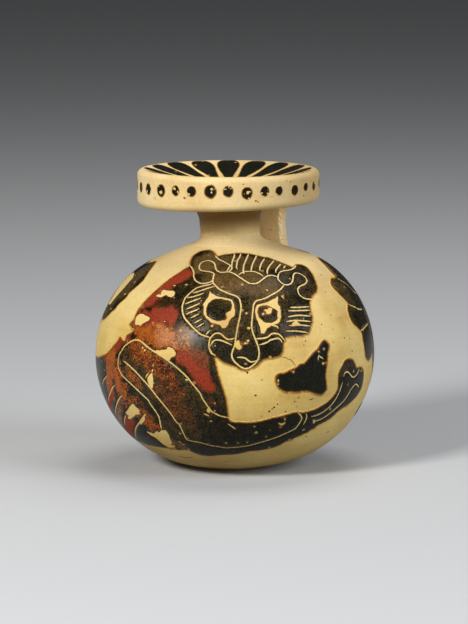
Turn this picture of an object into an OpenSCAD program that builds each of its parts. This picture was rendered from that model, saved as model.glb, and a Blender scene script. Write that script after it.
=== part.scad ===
// Aryballos: a round oil flask of pale thrown clay, with a wide dished mouth disc,
// a short neck and one strap handle. Millimetres. It stands on z = 0 and faces -Y.
// The neck leans a little towards -X. The handle is behind and to the right.

/* [Globe] */
// Greatest width of the globe
globe_d = 100; // [96:1:106]
// Radius of the belly's curve, seen in section
belly_curve_r = 39.5; // [37:0.5:42]
// Radius of the shoulder's curve, seen in section
shoulder_curve_r = 31; // [29:0.5:33]
// Radius of the flatter curve under the globe
base_curve_r = 75; // [68:1:84]
// Angle of the shoulder's curve at which it straightens towards the neck
shoulder_end = 69; // [66:1:72]
// Radius of the flat that the flask stands on
rest_r = 13; // [10:0.5:16]
// Thickness of the globe's thrown wall
wall = 4; // [3:0.25:5]
// Thickness of the floor above the resting flat
floor_t = 5; // [4:0.25:7]
// Lean of the neck away from upright, in degrees
lean = 2.2; // [0.4:0.2:3]

/* [Neck] */
// Clear bore of the neck and mouth
bore_d = 12; // [9:0.5:13]
// Thickness of the neck's wall at its waist
neck_wall = 4.5; // [3.5:0.25:5]
// Height of the neck, from its foot to the disc
neck_h = 13.3; // [12:0.1:18]
// How far up its height the neck is narrowest
neck_waist_h = 2; // [1.5:0.25:3]
// How much the neck's foot spreads beyond its waist
neck_foot_spread = 0.8; // [0.5:0.1:1.5]
// How much the neck widens from its waist to the start of its flare
neck_taper = 0.3; // [0:0.1:0.8]
// Radius of the hollow curve by which the neck flares under the disc
neck_flare_r = 9; // [6:0.5:10]
// Width of the clay bead smoothed round the neck's foot
neck_bead_w = 3.2; // [2.6:0.2:4]
// How far the bead's face is hollowed below a straight slope
neck_bead_hollow = 0.4; // [0.2:0.05:0.5]

/* [Mouth disc] */
// Width of the mouth disc
disc_d = 64.8; // [60:0.2:70]
// Thickness of the mouth disc at its middle
disc_t = 12.1; // [10:0.1:14]
// Tilt of the disc's underside, in degrees, its thicker side towards -X
disc_tilt = 1.6; // [0.4:0.2:2.4]
// Depth of the dish where it meets the bore
dish_depth = 5.5; // [4:0.25:7]
// Extra hollow of the dish below a straight slope
dish_hollow = 0.6; // [0.2:0.1:1]
// Width of the lip between the dish and the disc's edge
lip_w = 2.9; // [2.6:0.1:4]
// Radius of the disc's upper edge
disc_top_edge_r = 2; // [1:0.1:2.4]
// Radius of the disc's lower edge
disc_low_edge_r = 2.4; // [1.2:0.1:3]

/* [Handle] */
// Turn of the handle from straight behind towards +X, in degrees
handle_turn = 27; // [0:1:45]
// Gap for a thong, between the neck's waist and the strap
thong_gap = 8.8; // [7.5:0.1:9.5]
// Width of the strap at its ends
strap_w = 23; // [18:0.5:26]
// Thickness of the strap
strap_t = 4.7; // [3.5:0.1:5.5]
// Radius of the strap's outward bow, seen from its side
strap_bow_r = 45; // [30:1:80]
// How much each side of the strap draws in at mid height
strap_waist = 0.6; // [0.3:0.1:1]
// Height of the clay pressed round the strap's foot
foot_bead_h = 2.1; // [1.4:0.1:2.6]
// Height of the clay pressed round the strap's head
head_bead_h = 1.5; // [1:0.1:2]
// Width of both beads beyond the strap's faces
strap_bead_w = 2.8; // [2:0.1:3.2]

/* [Hidden] */
$fn = 64;

clay = "#E6D2A0";
smoothed_clay = "#EAD9AE";

// Fineness of the curves in section, in degrees, and in steps along a hollow
arc_step = 5;
hollow_steps = 8;
// Angle at which the belly's curve hands over to the shoulder's
shoulder_start = 45;
// Where the neck's flare stops, so that its lip keeps a real thickness
flare_end = 75;
// Length that runs past any cut
past = 20;

function dir(a) = [cos(a), sin(a)];

// Points of an arc round c, from angle a0 to a1
function arc(c, r, a0, a1) =
    let (n = ceil(abs(a1 - a0)/arc_step))
    [for (i = [0:n]) c + r*dir(a0 + (a1 - a0)*i/n)];

// Points from p to q on a curve that sinks below the straight line by sag at its middle
function hollow(p, q, sag) =
    let (d = q - p, side = [d.y, -d.x]/norm(d))
    [for (i = [0:hollow_steps])
        let (t = i/hollow_steps) p + t*d + 4*sag*t*(1 - t)*side];

// Section of the globe: three arcs that run into each other, then a straight shoulder.
// Heights here are measured from the widest ring, along the leaning axis.
belly_c = [globe_d/2 - belly_curve_r, 0];
base_c = [0, sqrt(pow(base_curve_r - belly_curve_r, 2) - pow(belly_c.x, 2))];
base_end = -atan2(base_c.y, belly_c.x);
shoulder_c = belly_c + (belly_curve_r - shoulder_curve_r)*dir(shoulder_start);
shoulder_slope = 90 - shoulder_end;

bore_r = bore_d/2;
neck_r = bore_r + neck_wall;
neck_foot_r = neck_r + neck_foot_spread;

// Height of the straight shoulder at radius r, for a skin that lies t inside the surface
function shoulder_z(r, t = 0) =
    let (p = shoulder_c + (shoulder_curve_r - t)*dir(shoulder_end))
    p.y + (p.x - r)*tan(shoulder_slope);

shoulder_top = shoulder_z(neck_foot_r);
// Height of the widest ring above the floor, which leaves a flat of radius rest_r
belly_z = sqrt(pow(base_curve_r, 2) - pow(rest_r, 2)) - base_c.y*cos(lean);

// Where the leaning axis meets the disc's underside, and the level rim above it
neck_top = shoulder_top + neck_h;
disc_seat = [-sin(lean)*neck_top, 0, belly_z + cos(lean)*neck_top];
rim_z = disc_seat.z + disc_t;
disc_x = disc_seat.x - tan(lean)*(disc_t - dish_depth);
disc_r = disc_d/2;

strap_in = neck_r + thong_gap;
strap_mid = strap_in + strap_t/2;
strap_mid_z = (shoulder_z(strap_mid) + neck_top)/2;
strap_half_h = (neck_top - shoulder_z(strap_mid))/2;
// Radius of the hollow sides that draw the strap in by strap_waist
strap_side_r = (pow(strap_half_h, 2) + pow(strap_waist, 2))/(2*strap_waist);
// The strap's middle at its two ends, which the bow brings towards the neck
strap_end = strap_mid - (strap_bow_r - sqrt(pow(strap_bow_r, 2) - pow(strap_half_h, 2)));

// Radius of the arc that rises h over a chord of half width w
function dome_r(w, h) = (w*w + h*h)/(2*h);

// Everything thrown leans about the middle of the widest ring
module leaned() {
    translate([0, 0, belly_z]) rotate([0, -lean, 0]) children();
}

// Section of the globe's solid form, t inside its surface
module globe_section(t) {
    base = arc(base_c, base_curve_r - t, -90, base_end);
    belly = arc(belly_c, belly_curve_r - t, base_end, shoulder_start);
    shoulder = arc(shoulder_c, shoulder_curve_r - t, shoulder_start, shoulder_end);
    polygon(concat(base, [for (i = [1:len(belly) - 1]) belly[i]],
        [for (i = [1:len(shoulder) - 1]) shoulder[i]],
        [[neck_foot_r, shoulder_z(neck_foot_r, t)], [0, shoulder_z(neck_foot_r, t)]]));
}

module globe_form(t = 0) {
    leaned() rotate_extrude() globe_section(t);
}

// The one bore that runs down the leaning axis, through disc, neck and shoulder
module bore() {
    leaned() translate([0, 0, shoulder_top - past])
        cylinder(r = bore_r, h = neck_h + disc_t + 2*past);
}

// All the space above or below a level height z
module above(z) {
    translate([-globe_d, -globe_d, z]) cube(2*globe_d);
}

// All the space below the disc's tilted underside
module below_disc() {
    translate(disc_seat) rotate([0, -disc_tilt, 0])
        translate([-globe_d, -globe_d, -2*globe_d]) cube(2*globe_d);
}

// Section of the neck, from its foot to past the disc's underside
module neck_section() {
    flare_z = neck_h - neck_flare_r;
    flare_c = [neck_r + neck_taper + neck_flare_r, flare_z];
    flare = arc(flare_c, neck_flare_r, 180, 180 - flare_end);
    top_r = flare[len(flare) - 1].x;
    polygon(concat([[0, 0], [neck_foot_r, 0], [neck_r, neck_waist_h]], flare,
        [[top_r, neck_h + past], [0, neck_h + past]]));
}

module neck_form() {
    leaned() translate([0, 0, shoulder_top]) rotate_extrude() neck_section();
}

// Section of the bead in the corner between the neck's foot and the shoulder
module neck_bead_section() {
    out_r = neck_foot_r + neck_bead_w;
    edge = [out_r, shoulder_z(out_r) - shoulder_top];
    polygon(concat([[neck_foot_r, 0]], hollow(edge, [neck_r, neck_waist_h], -neck_bead_hollow)));
}

module neck_bead_form() {
    leaned() translate([0, 0, shoulder_top]) rotate_extrude() neck_bead_section();
}

// Section of the mouth disc, with heights below its level rim
module disc_section() {
    foot_z = -disc_t - disc_r*tan(disc_tilt);
    dish = hollow([bore_r, -dish_depth], [disc_r - lip_w, -dish_depth/40], dish_hollow);
    top_edge = arc([disc_r - disc_top_edge_r, -disc_top_edge_r], disc_top_edge_r, 90, 0);
    low_edge = arc([disc_r - disc_low_edge_r, foot_z + disc_low_edge_r], disc_low_edge_r, 0, -90);
    polygon(concat([[0, foot_z], [0, -dish_depth]], dish, top_edge, low_edge));
}

// Puts the handle's parts at their place round the neck: Y runs outwards, X along the width
module at_handle() {
    leaned() rotate([0, 0, -handle_turn]) children();
}

// The bowed and waisted strap, long enough at both ends to be cut to its seats
module strap_form() {
    long = 2*strap_half_h + past;
    at_handle() translate([0, strap_in, strap_mid_z]) difference() {
        translate([0, -strap_bow_r, 0]) rotate([0, 90, 0]) difference() {
            cylinder(r = strap_bow_r + strap_t, h = strap_w, center = true, $fn = 4*$fn);
            cylinder(r = strap_bow_r, h = 2*strap_w, center = true, $fn = 4*$fn);
        }
        for (side = [-1, 1])
            translate([side*(strap_w/2 + strap_side_r - strap_waist), 0, 0]) rotate([90, 0, 0])
                cylinder(r = strap_side_r, h = long, center = true, $fn = 4*$fn);
        for (end = [-1, 1])
            translate([0, 0, end*(long/2 + strap_bow_r)])
                cube([2*strap_w, 4*strap_bow_r, 2*strap_bow_r], center = true);
        translate([0, -2*strap_bow_r, 0])
            cube([2*strap_w, 3*strap_bow_r, 2*long], center = true);
    }
}

// Outline round the strap, w beyond its faces, with its corners rounded off
module rounded_outline(w) {
    for (grow = [[w, 0], [0, w]])
        square([strap_w, strap_t] + 2*grow, center = true);
    for (x = [-1, 1], y = [-1, 1])
        translate([x*strap_w/2, y*strap_t/2]) circle(w);
}

// A low pillow that rises h above its own level and spreads w beyond the strap
module pillow(w, h) {
    thin_r = dome_r(strap_t/2 + w, h);
    wide_r = dome_r(strap_w/2 + w, h);
    intersection() {
        translate([0, 0, -past/2]) linear_extrude(past) rounded_outline(w);
        translate([0, 0, h - thin_r]) rotate([0, 90, 0])
            cylinder(r = thin_r, h = strap_w + 4*w, center = true, $fn = 4*$fn);
        translate([0, 0, h - wide_r]) rotate([90, 0, 0])
            cylinder(r = wide_r, h = strap_t + 4*w, center = true, $fn = 4*$fn);
    }
}

module globe() {
    color(clay) difference() {
        intersection() {
            globe_form();
            above(0);
        }
        intersection() {
            globe_form(wall);
            above(floor_t);
        }
        bore();
    }
}

module neck() {
    color(clay) difference() {
        intersection() {
            neck_form();
            below_disc();
        }
        bore();
    }
}

module mouth_disc() {
    color(clay) difference() {
        translate([disc_x, 0, rim_z]) rotate_extrude() disc_section();
        below_disc();
        bore();
    }
}

module strap_handle() {
    color(clay) difference() {
        intersection() {
            strap_form();
            below_disc();
        }
        globe_form();
    }
}

module neck_luting() {
    color(smoothed_clay) neck_bead_form();
}

module handle_foot_luting() {
    color(smoothed_clay) difference() {
        at_handle() translate([0, strap_end, shoulder_z(strap_end)])
            rotate([-shoulder_slope, 0, 0]) pillow(strap_bead_w, foot_bead_h);
        globe_form();
        strap_form();
        neck_form();
        neck_bead_form();
    }
}

module handle_head_luting() {
    color(smoothed_clay) difference() {
        intersection() {
            at_handle() translate([0, strap_end, neck_top]) rotate([180, 0, 0])
                pillow(strap_bead_w, head_bead_h);
            below_disc();
        }
        strap_form();
        neck_form();
    }
}

globe();
neck();
mouth_disc();
strap_handle();
neck_luting();
handle_foot_luting();
handle_head_luting();
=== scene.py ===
import bpy
import math
import random
import numpy as np
from mathutils import Matrix, Vector, geometry, kdtree, noise


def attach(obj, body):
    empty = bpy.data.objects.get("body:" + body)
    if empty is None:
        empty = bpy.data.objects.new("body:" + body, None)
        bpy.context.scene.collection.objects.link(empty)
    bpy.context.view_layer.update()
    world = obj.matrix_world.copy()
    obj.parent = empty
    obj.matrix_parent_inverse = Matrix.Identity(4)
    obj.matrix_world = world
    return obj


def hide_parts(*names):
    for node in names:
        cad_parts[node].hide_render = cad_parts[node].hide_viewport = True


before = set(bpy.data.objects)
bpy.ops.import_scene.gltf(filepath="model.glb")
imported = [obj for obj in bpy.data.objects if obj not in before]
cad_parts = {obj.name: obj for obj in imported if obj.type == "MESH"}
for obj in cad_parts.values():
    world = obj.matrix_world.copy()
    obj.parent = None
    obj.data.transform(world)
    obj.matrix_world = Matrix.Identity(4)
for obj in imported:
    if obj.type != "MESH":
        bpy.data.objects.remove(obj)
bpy.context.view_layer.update()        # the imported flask, which stays where it is
mm = 0.001
print("frame loaded:", ", ".join(sorted(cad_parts)))

# The photograph's size and focal length in pixels, and the camera's place in millimetres and degrees
photo = {"width": 468, "height": 624, "focal": 3631, "distance": 1300, "elevation": 8,
         "target": (-0.32, 0, 54.96)}

# The globe's section in millimetres and degrees: three arcs run into each other, then a straight shoulder
globe = {"width": 100, "bellyCurve": 39.5, "shoulderCurve": 31, "baseCurve": 75, "shoulderStart": 45,
         "shoulderEnd": 69, "rest": 13, "wall": 4, "floor": 5, "lean": 2.2, "slipRoom": 0.09,
         "flatReach": 1.4, "turns": 300, "ringGap": 1.0, "insideRings": 80}


def linear(hexColour):
    channels = [int(hexColour[i:i + 2], 16) / 255 for i in (1, 3, 5)]
    return tuple(c / 12.92 if c <= 0.04045 else ((c + 0.055) / 1.055) ** 2.4 for c in channels) + (1.0,)


def addNode(tree, kind, settings=None, links=None):
    # links holds a value, a hex colour or another node's output for each named or numbered input
    node = tree.nodes.new(kind)
    for name, value in (settings or {}).items():
        setattr(node, name, value)
    for name, value in (links or {}).items():
        if isinstance(value, bpy.types.NodeSocket):
            tree.links.new(value, node.inputs[name])
        elif isinstance(value, str) and value.startswith("#"):
            node.inputs[name].default_value = linear(value)
        else:
            node.inputs[name].default_value = value
    return node


# The result of one Math node
def worked(tree, operation, a, b=0.0, c=0.0):
    return addNode(tree, "ShaderNodeMath", {"operation": operation}, {0: a, 1: b, 2: c}).outputs[0]


# The result of one Vector Math node
def vectorWorked(tree, operation, a, b):
    second = "Scale" if operation == "SCALE" else 1
    return addNode(tree, "ShaderNodeVectorMath", {"operation": operation}, {0: a, second: b}).outputs[0]


# One colour laid over another by a share
def mixed(tree, share, below, above):
    return addNode(tree, "ShaderNodeMix", {"data_type": "RGBA"}, {0: share, 6: below, 7: above}).outputs[2]


# A value that runs from low to high, brought to run from start to end
def ranged(tree, value, low, high, start=0.0, end=1.0, kind="SMOOTHSTEP"):
    return addNode(tree, "ShaderNodeMapRange", {"interpolation_type": kind},
                   {"Value": value, "From Min": low, "From Max": high, "To Min": start,
                    "To Max": end}).outputs[0]


# Noise with so many waves to a metre
def cloudy(tree, place, scale, detail, roughness=0.5):
    return addNode(tree, "ShaderNodeTexNoise", links={"Vector": place, "Scale": scale, "Detail": detail,
                                                      "Roughness": roughness}).outputs["Fac"]


# A colour that changes with a value, from a list of positions and colours
def ramped(tree, value, stops):
    ramp = addNode(tree, "ShaderNodeValToRGB", links={"Fac": value})
    elements = ramp.color_ramp.elements
    for element, (position, colour) in zip(elements, (stops[0], stops[-1])):
        element.position = position
        element.color = linear(colour)
    for position, colour in stops[1:-1]:
        elements.new(position).color = linear(colour)
    return ramp.outputs["Color"]


# Round pits in a share of a pattern's cells, with their least and greatest radius as a share of a cell
def pitted(tree, place, cellScale, share, least, greatest, kind="SMOOTHSTEP"):
    cells = addNode(tree, "ShaderNodeTexVoronoi", links={"Vector": place, "Scale": cellScale}).outputs
    pick = addNode(tree, "ShaderNodeSeparateColor", links={"Color": cells["Color"]}).outputs
    size = ranged(tree, pick[1], 0.0, 1.0, least, greatest, kind)
    near = worked(tree, "LESS_THAN", cells["Distance"], size)
    return worked(tree, "MULTIPLY", worked(tree, "LESS_THAN", pick[0], share), near)


def newMaterial(name):
    material = bpy.data.materials.new(name)
    material.use_nodes = True
    material.node_tree.nodes.clear()
    return material, material.node_tree


# Ends a material's tree with one surface, whose relief is a tenth of a millimetre for a height of 1
def endMaterial(tree, colour, rough, height, strength, specular):
    bump = addNode(tree, "ShaderNodeBump", links={"Height": height, "Strength": strength,
                                                  "Distance": 0.1 * mm})
    surface = addNode(tree, "ShaderNodeBsdfPrincipled",
                      links={"Base Color": colour, "Roughness": rough, "Normal": bump.outputs[0], "IOR": 1.5,
                             "Specular IOR Level": specular})
    addNode(tree, "ShaderNodeOutputMaterial", links={"Surface": surface.outputs[0]})


# A Geometry Nodes tree with its named inputs, each with its kind, and their sockets inside it
def newTree(name, inputs):
    tree = bpy.data.node_groups.new(name, "GeometryNodeTree")
    for socket, kind in [("Geometry", "Geometry")] + inputs:
        tree.interface.new_socket(socket, in_out="INPUT", socket_type="NodeSocket" + kind)
    tree.interface.new_socket("Geometry", in_out="OUTPUT", socket_type="NodeSocketGeometry")
    return tree, addNode(tree, "NodeGroupInput").outputs


# Ends a Geometry Nodes tree: a mesh without double points, made real, with its material
def endTree(tree, mesh, distance, material, smooth):
    closed = addNode(tree, "GeometryNodeMergeByDistance", links={"Geometry": mesh, "Distance": distance})
    plain = addNode(tree, "GeometryNodeRealizeInstances", links={0: closed.outputs[0]})
    if smooth:
        plain = addNode(tree, "GeometryNodeSetShadeSmooth", links={0: plain.outputs[0]})
    coated = addNode(tree, "GeometryNodeSetMaterial", links={0: plain.outputs[0], "Material": material})
    addNode(tree, "NodeGroupOutput", links={0: coated.outputs[0]})


def newObject(name, data):
    thing = bpy.data.objects.new(name, data)
    bpy.context.scene.collection.objects.link(thing)
    return thing


def direction(degrees):
    return Vector((math.cos(math.radians(degrees)), math.sin(math.radians(degrees))))


# The camera comes first, because the painting is laid on the globe through it
def placeCamera():
    rise = math.radians(photo["elevation"])
    eye = Vector(photo["target"]) + photo["distance"] * Vector((0, -math.cos(rise), math.sin(rise)))
    data = bpy.data.cameras.new("photo camera")
    data.sensor_fit = "HORIZONTAL"
    data.lens = photo["focal"] * data.sensor_width / photo["width"]
    data.clip_start = 0.05
    data.clip_end = 20
    camera = newObject("photo camera", data)
    camera.location = eye * mm
    camera.rotation_euler = (math.radians(90) - rise, 0, 0)
    bpy.context.scene.camera = camera
    return eye


eye = placeCamera()

# The globe's section, worked out once with room left outside it for the slip
bellyCentre = Vector((globe["width"] / 2 - globe["bellyCurve"], 0))
baseCentre = Vector((0, math.sqrt((globe["baseCurve"] - globe["bellyCurve"]) ** 2 - bellyCentre.x ** 2)))
baseEnd = -math.degrees(math.atan2(baseCentre.y, bellyCentre.x))
shoulderCentre = (bellyCentre
                  + (globe["bellyCurve"] - globe["shoulderCurve"]) * direction(globe["shoulderStart"]))
bellyHeight = (math.sqrt(globe["baseCurve"] ** 2 - globe["rest"] ** 2)
               - baseCentre.y * math.cos(math.radians(globe["lean"])))
leaning = (Matrix.Translation((0, 0, bellyHeight))
           @ Matrix.Rotation(math.radians(-globe["lean"]), 4, "Y"))
upright = leaning.inverted()


def sectionArcs(inset):
    return [(baseCentre, globe["baseCurve"] - inset, -90, baseEnd),
            (bellyCentre, globe["bellyCurve"] - inset, baseEnd, globe["shoulderStart"]),
            (shoulderCentre, globe["shoulderCurve"] - inset, globe["shoulderStart"], globe["shoulderEnd"])]


paintedArcs = sectionArcs(globe["slipRoom"])
wallArcs = sectionArcs(globe["wall"])


# Radius, height above the widest ring and slope of the section, at a distance along it from its foot
def sectionAt(along, arcs=paintedArcs):
    for centre, radius, start, end in arcs:
        length = radius * math.radians(end - start)
        if along <= length:
            angle = start + math.degrees(along / radius)
            point = centre + radius * direction(angle)
            return point.x, point.y, angle
        along -= length
    point = centre + radius * direction(end) + along * direction(end + 90)
    return point.x, point.y, end


# Distance along the section to the point at that radius and height
def alongAt(radius, height, arcs=paintedArcs):
    along = 0
    for centre, curve, start, end in arcs:
        angle = math.degrees(math.atan2(height - centre.y, radius - centre.x))
        if angle <= end:
            return along + curve * math.radians(angle - start)
        along += curve * math.radians(end - start)
    return along + (Vector((radius, height)) - centre - curve * direction(end)).length


# Radius of the globe at a height above its widest ring
def radiusAt(height, arcs=paintedArcs):
    for centre, curve, _, end in arcs:
        if height <= centre.y + curve * math.sin(math.radians(end)):
            return centre.x + math.sqrt(max(curve ** 2 - (height - centre.y) ** 2, 0))
    corner = centre + curve * direction(end)
    return corner.x - (height - corner.y) * math.tan(math.radians(end))


# A place on the globe is its turn from the front towards +X, in degrees, and its distance along the section
def onGlobe(turn, along, lift=0):
    radius, height, angle = sectionAt(along)
    out = direction(angle)
    radius += lift * out.x
    height += lift * out.y
    turn = math.radians(turn)
    return leaning @ Vector((radius * math.sin(turn), -radius * math.cos(turn), height))


# The walk of a ray in millimetres: it starts somewhat before the camera's distance to the target and goes
# on to some depth in steps, and above the highest place there is no globe
search = {"before": 58, "depth": 100, "step": 1.5, "halvings": 24, "highest": 44}


# The place on the globe that the photograph shows at a pixel, or the nearest on its outline: a walk along
# the ray finds the first step inside the globe, and halvings of that step find its skin
def fromPixel(x, y):
    rise = math.radians(photo["elevation"])
    right = (x - photo["width"] / 2) / photo["focal"]
    up = (photo["height"] / 2 - y) / photo["focal"]
    ray = Vector((right, math.cos(rise) + up * math.sin(rise), up * math.cos(rise) - math.sin(rise)))
    start = upright @ eye
    ray = upright.to_3x3() @ ray

    def gap(t):
        point = start + t * ray
        return math.hypot(point.x, point.y) - radiusAt(min(point.z, search["highest"]))

    near = photo["distance"] - search["before"]
    least = (gap(near), near)
    for _ in range(int(search["depth"] / search["step"])):
        far = near + search["step"]
        least = min(least, (gap(far), far))
        if gap(far) < 0:
            for _ in range(search["halvings"]):
                middle = (near + far) / 2
                if gap(middle) < 0:
                    far = middle
                else:
                    near = middle
            least = (0, far)
            break
        near = far
    point = start + least[1] * ray
    return math.degrees(math.atan2(point.x, -point.y)), alongAt(radiusAt(point.z), point.z)


def makeMesh(name, points, faces, material):
    mesh = bpy.data.meshes.new(name)
    mesh.from_pydata([Vector(p) * mm for p in points], [], faces)
    mesh.materials.append(material)
    mesh.polygons.foreach_set("use_smooth", [True] * len(mesh.polygons))
    mesh.validate()
    return newObject(name, mesh)


# Fired clay: pale calcareous clay, thrown, then smoothed with a wet hand, so it has fine turning lines,
# mineral specks, small pits and a soft sheen. Its tone drifts over 24 mm, the turning lines are 1.6 mm
# apart and the grain is under 1 mm. A tint takes over by some share across a span in metres along an axis:
# by itself it makes the shoulder creamier than the yellower clay below
def clayMaterial(name, shades=("#E8CB7E", "#DBB967", "#C49B48"), tint="#EAD3A6", share=0.6, along="Z",
                 span=(0.050, 0.085), pits=0.09, cellScale=330.0):
    pale, middle, deep = shades
    material, tree = newMaterial(name)
    place = addNode(tree, "ShaderNodeTexCoord").outputs["Object"]
    clouds = cloudy(tree, place, 42.0, 4.0, 0.55)
    bands = addNode(tree, "ShaderNodeMapping", links={"Vector": place, "Scale": (14, 14, 620)}).outputs[0]
    lines = cloudy(tree, bands, 1.0, 3.0)
    grain = cloudy(tree, place, 1100.0, 4.0)
    tone = worked(tree, "MULTIPLY_ADD", lines, 0.16, clouds)
    body = ramped(tree, tone, [(0.40, deep), (0.57, middle), (0.76, pale)])
    way = addNode(tree, "ShaderNodeSeparateXYZ", links={"Vector": place}).outputs[along]
    body = mixed(tree, ranged(tree, way, *span, 0.0, share), body, tint)
    # The grain is a little lighter and darker, and the pits hold dirt
    body = vectorWorked(tree, "SCALE", body, ranged(tree, grain, 0.3, 0.7, 0.93, 1.05, "LINEAR"))
    pit = pitted(tree, place, cellScale, pits, 0.05, 0.17, "LINEAR")
    body = mixed(tree, worked(tree, "MULTIPLY", pit, 0.55), body, "#6E5632")
    # Height: hand-smoothed waves, turning lines, grain and pits
    height = worked(tree, "MULTIPLY_ADD", cloudy(tree, place, 130.0, 2.0), 1.6, lines)
    height = worked(tree, "MULTIPLY_ADD", grain, 0.25, height)
    height = worked(tree, "MULTIPLY_ADD", pit, -1.5, height)
    rough = ranged(tree, clouds, 0.35, 0.65, 0.50, 0.64, "LINEAR")
    endMaterial(tree, body, rough, height, 0.35, 0.42)
    return material


clay = clayMaterial("thrown buff clay")
# Under the disc, out of reach of any cloth, the same clay is brown, partly with old oil and dust and partly
# as painted shade of the disc's shadow, darkest towards the disc
oiledAndShadedClay = clayMaterial("oil-stained buff clay with painted shade", ("#EAD094", "#E2C584", "#D0AE6C"), "#6C4C04", 0.97,
                         "Z", (0.0828, 0.0904))
# The disc's clay is paler than the globe's, and darker towards +X, where the strap is
discClayDarkerTowardsX = clayMaterial("pale buff clay darker towards +X", ("#F0D8A0", "#E8CA8C", "#D6B474"), "#B99A62",
                           0.6, "X", (-0.022, 0.026), 0.11)
# The strap is palest, partly because it was scraped and partly as painted light on its inner face, which
# lies in shade; it is full of small pits, and its edge towards +X is duller
scrapedClayWithPaintedLight = clayMaterial("pale buff clay scraped and pitted, with painted light", ("#FFEABA", "#F8DA9C", "#CBA264"), "#CFAE6E",
                           0.6, "X", (0.0162, 0.0178), 0.85, 640.0)


# One tree for everything thrown: it turns a section's points round the axis, in as many steps as asked
def wheelTree():
    tree, given = newTree("thrown on the wheel", [("Section", "Object"), ("Rings", "Int"), ("Turns", "Int"),
                                                  ("Clay", "Material")])
    section = addNode(tree, "GeometryNodeObjectInfo", links={"Object": given["Section"]}).outputs["Geometry"]
    columns = worked(tree, "ADD", given["Turns"], 1.0)
    grid = addNode(tree, "GeometryNodeMeshGrid", links={"Size X": 1.0, "Size Y": 1.0, "Vertices X": columns,
                                                        "Vertices Y": given["Rings"]})
    place = addNode(tree, "GeometryNodeInputPosition").outputs[0]
    split = addNode(tree, "ShaderNodeSeparateXYZ", links={0: place}).outputs
    share = worked(tree, "ADD", split["Y"], 0.5)
    row = worked(tree, "MULTIPLY", share, worked(tree, "SUBTRACT", given["Rings"], 1.0))
    sample = addNode(tree, "GeometryNodeSampleIndex", {"data_type": "FLOAT_VECTOR", "domain": "POINT"},
                     {0: section, 1: place, 2: worked(tree, "ROUND", row)})
    ring = addNode(tree, "ShaderNodeSeparateXYZ", links={0: sample.outputs[0]}).outputs
    angle = worked(tree, "MULTIPLY", split["X"], 2 * math.pi)
    x = worked(tree, "MULTIPLY", worked(tree, "SINE", angle), ring["X"])
    y = worked(tree, "MULTIPLY", worked(tree, "COSINE", angle), ring["X"])
    front = worked(tree, "MULTIPLY", y, -1.0)
    spot = addNode(tree, "ShaderNodeCombineXYZ", links={0: x, 1: front, 2: ring["Z"]})
    turned = addNode(tree, "GeometryNodeSetPosition", links={"Geometry": grid.outputs["Mesh"],
                                                             "Position": spot.outputs[0]})
    endTree(tree, turned.outputs[0], 0.002 * mm, given["Clay"], True)
    return tree


# Gives a Geometry Nodes tree its inputs and turns what it makes into a plain mesh
def makeWithNodes(name, tree, inputs):
    holder = newObject(name, bpy.data.meshes.new(name))
    modifier = holder.modifiers.new(name, "NODES")
    modifier.node_group = tree
    for item in tree.interface.items_tree:
        if item.in_out == "INPUT" and item.name in inputs:
            modifier[item.identifier] = inputs[item.name]
    bpy.context.view_layer.update()
    made = bpy.data.meshes.new_from_object(holder.evaluated_get(bpy.context.evaluated_depsgraph_get()))
    holder.modifiers.remove(modifier)
    holder.data = made
    return holder


wheel = wheelTree()


# Puts a piece on the flask's one body and lets it stand for its CAD node
def finishPiece(piece, node):
    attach(piece, "root")
    if node:
        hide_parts(node)
    return piece


# Throws a section, a list of radii and heights in millimetres, on the wheel
def throwOnWheel(name, section, turns, material, place):
    line = bpy.data.meshes.new(name + " section")
    edges = [(i, i + 1) for i in range(len(section) - 1)]
    line.from_pydata([(r * mm, 0, z * mm) for r, z in section], edges, [])
    profile = newObject(name + " section", line)
    piece = makeWithNodes(name, wheel, {"Section": profile, "Rings": len(section), "Turns": turns,
                                        "Clay": material})
    bpy.data.objects.remove(profile)
    where = place.copy()
    where.translation *= mm
    piece.data.transform(where)
    return piece


# Points from a to b about step apart, without b
def between(a, b, step):
    count = max(1, round((Vector(b) - Vector(a)).length / step))
    return [tuple(Vector(a).lerp(Vector(b), i / count)) for i in range(count)]


def arcPoints(centre, radius, start, end, step):
    count = max(2, round(abs(radius * math.radians(end - start)) / step))
    return [tuple(Vector(centre) + radius * direction(start + (end - start) * i / count))
            for i in range(count + 1)]


# The neck, from its foot to the disc that it carries
neck = {"bore": 6, "wall": 4.5, "height": 13.3, "waistHeight": 2, "footSpread": 0.8, "taper": 0.3,
        "flareCurve": 6.5, "flareEnd": 88, "sunk": 0.3, "turns": 192, "ringGap": 0.5}
neckRadius = neck["bore"] + neck["wall"]
neckFoot = neckRadius + neck["footSpread"]


def heightOnShoulder(radius, arcs=paintedArcs):
    centre, curve, start, end = arcs[-1]
    corner = centre + curve * direction(end)
    if radius <= corner.x:
        return corner.y + (corner.x - radius) / math.tan(math.radians(end))
    if radius <= centre.x + curve * math.cos(math.radians(start)):
        return centre.y + math.sqrt(curve ** 2 - (radius - centre.x) ** 2)
    return math.sqrt(max(arcs[1][1] ** 2 - (radius - arcs[1][0].x) ** 2, 0))


shoulderTop = heightOnShoulder(neckFoot, sectionArcs(0))


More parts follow.
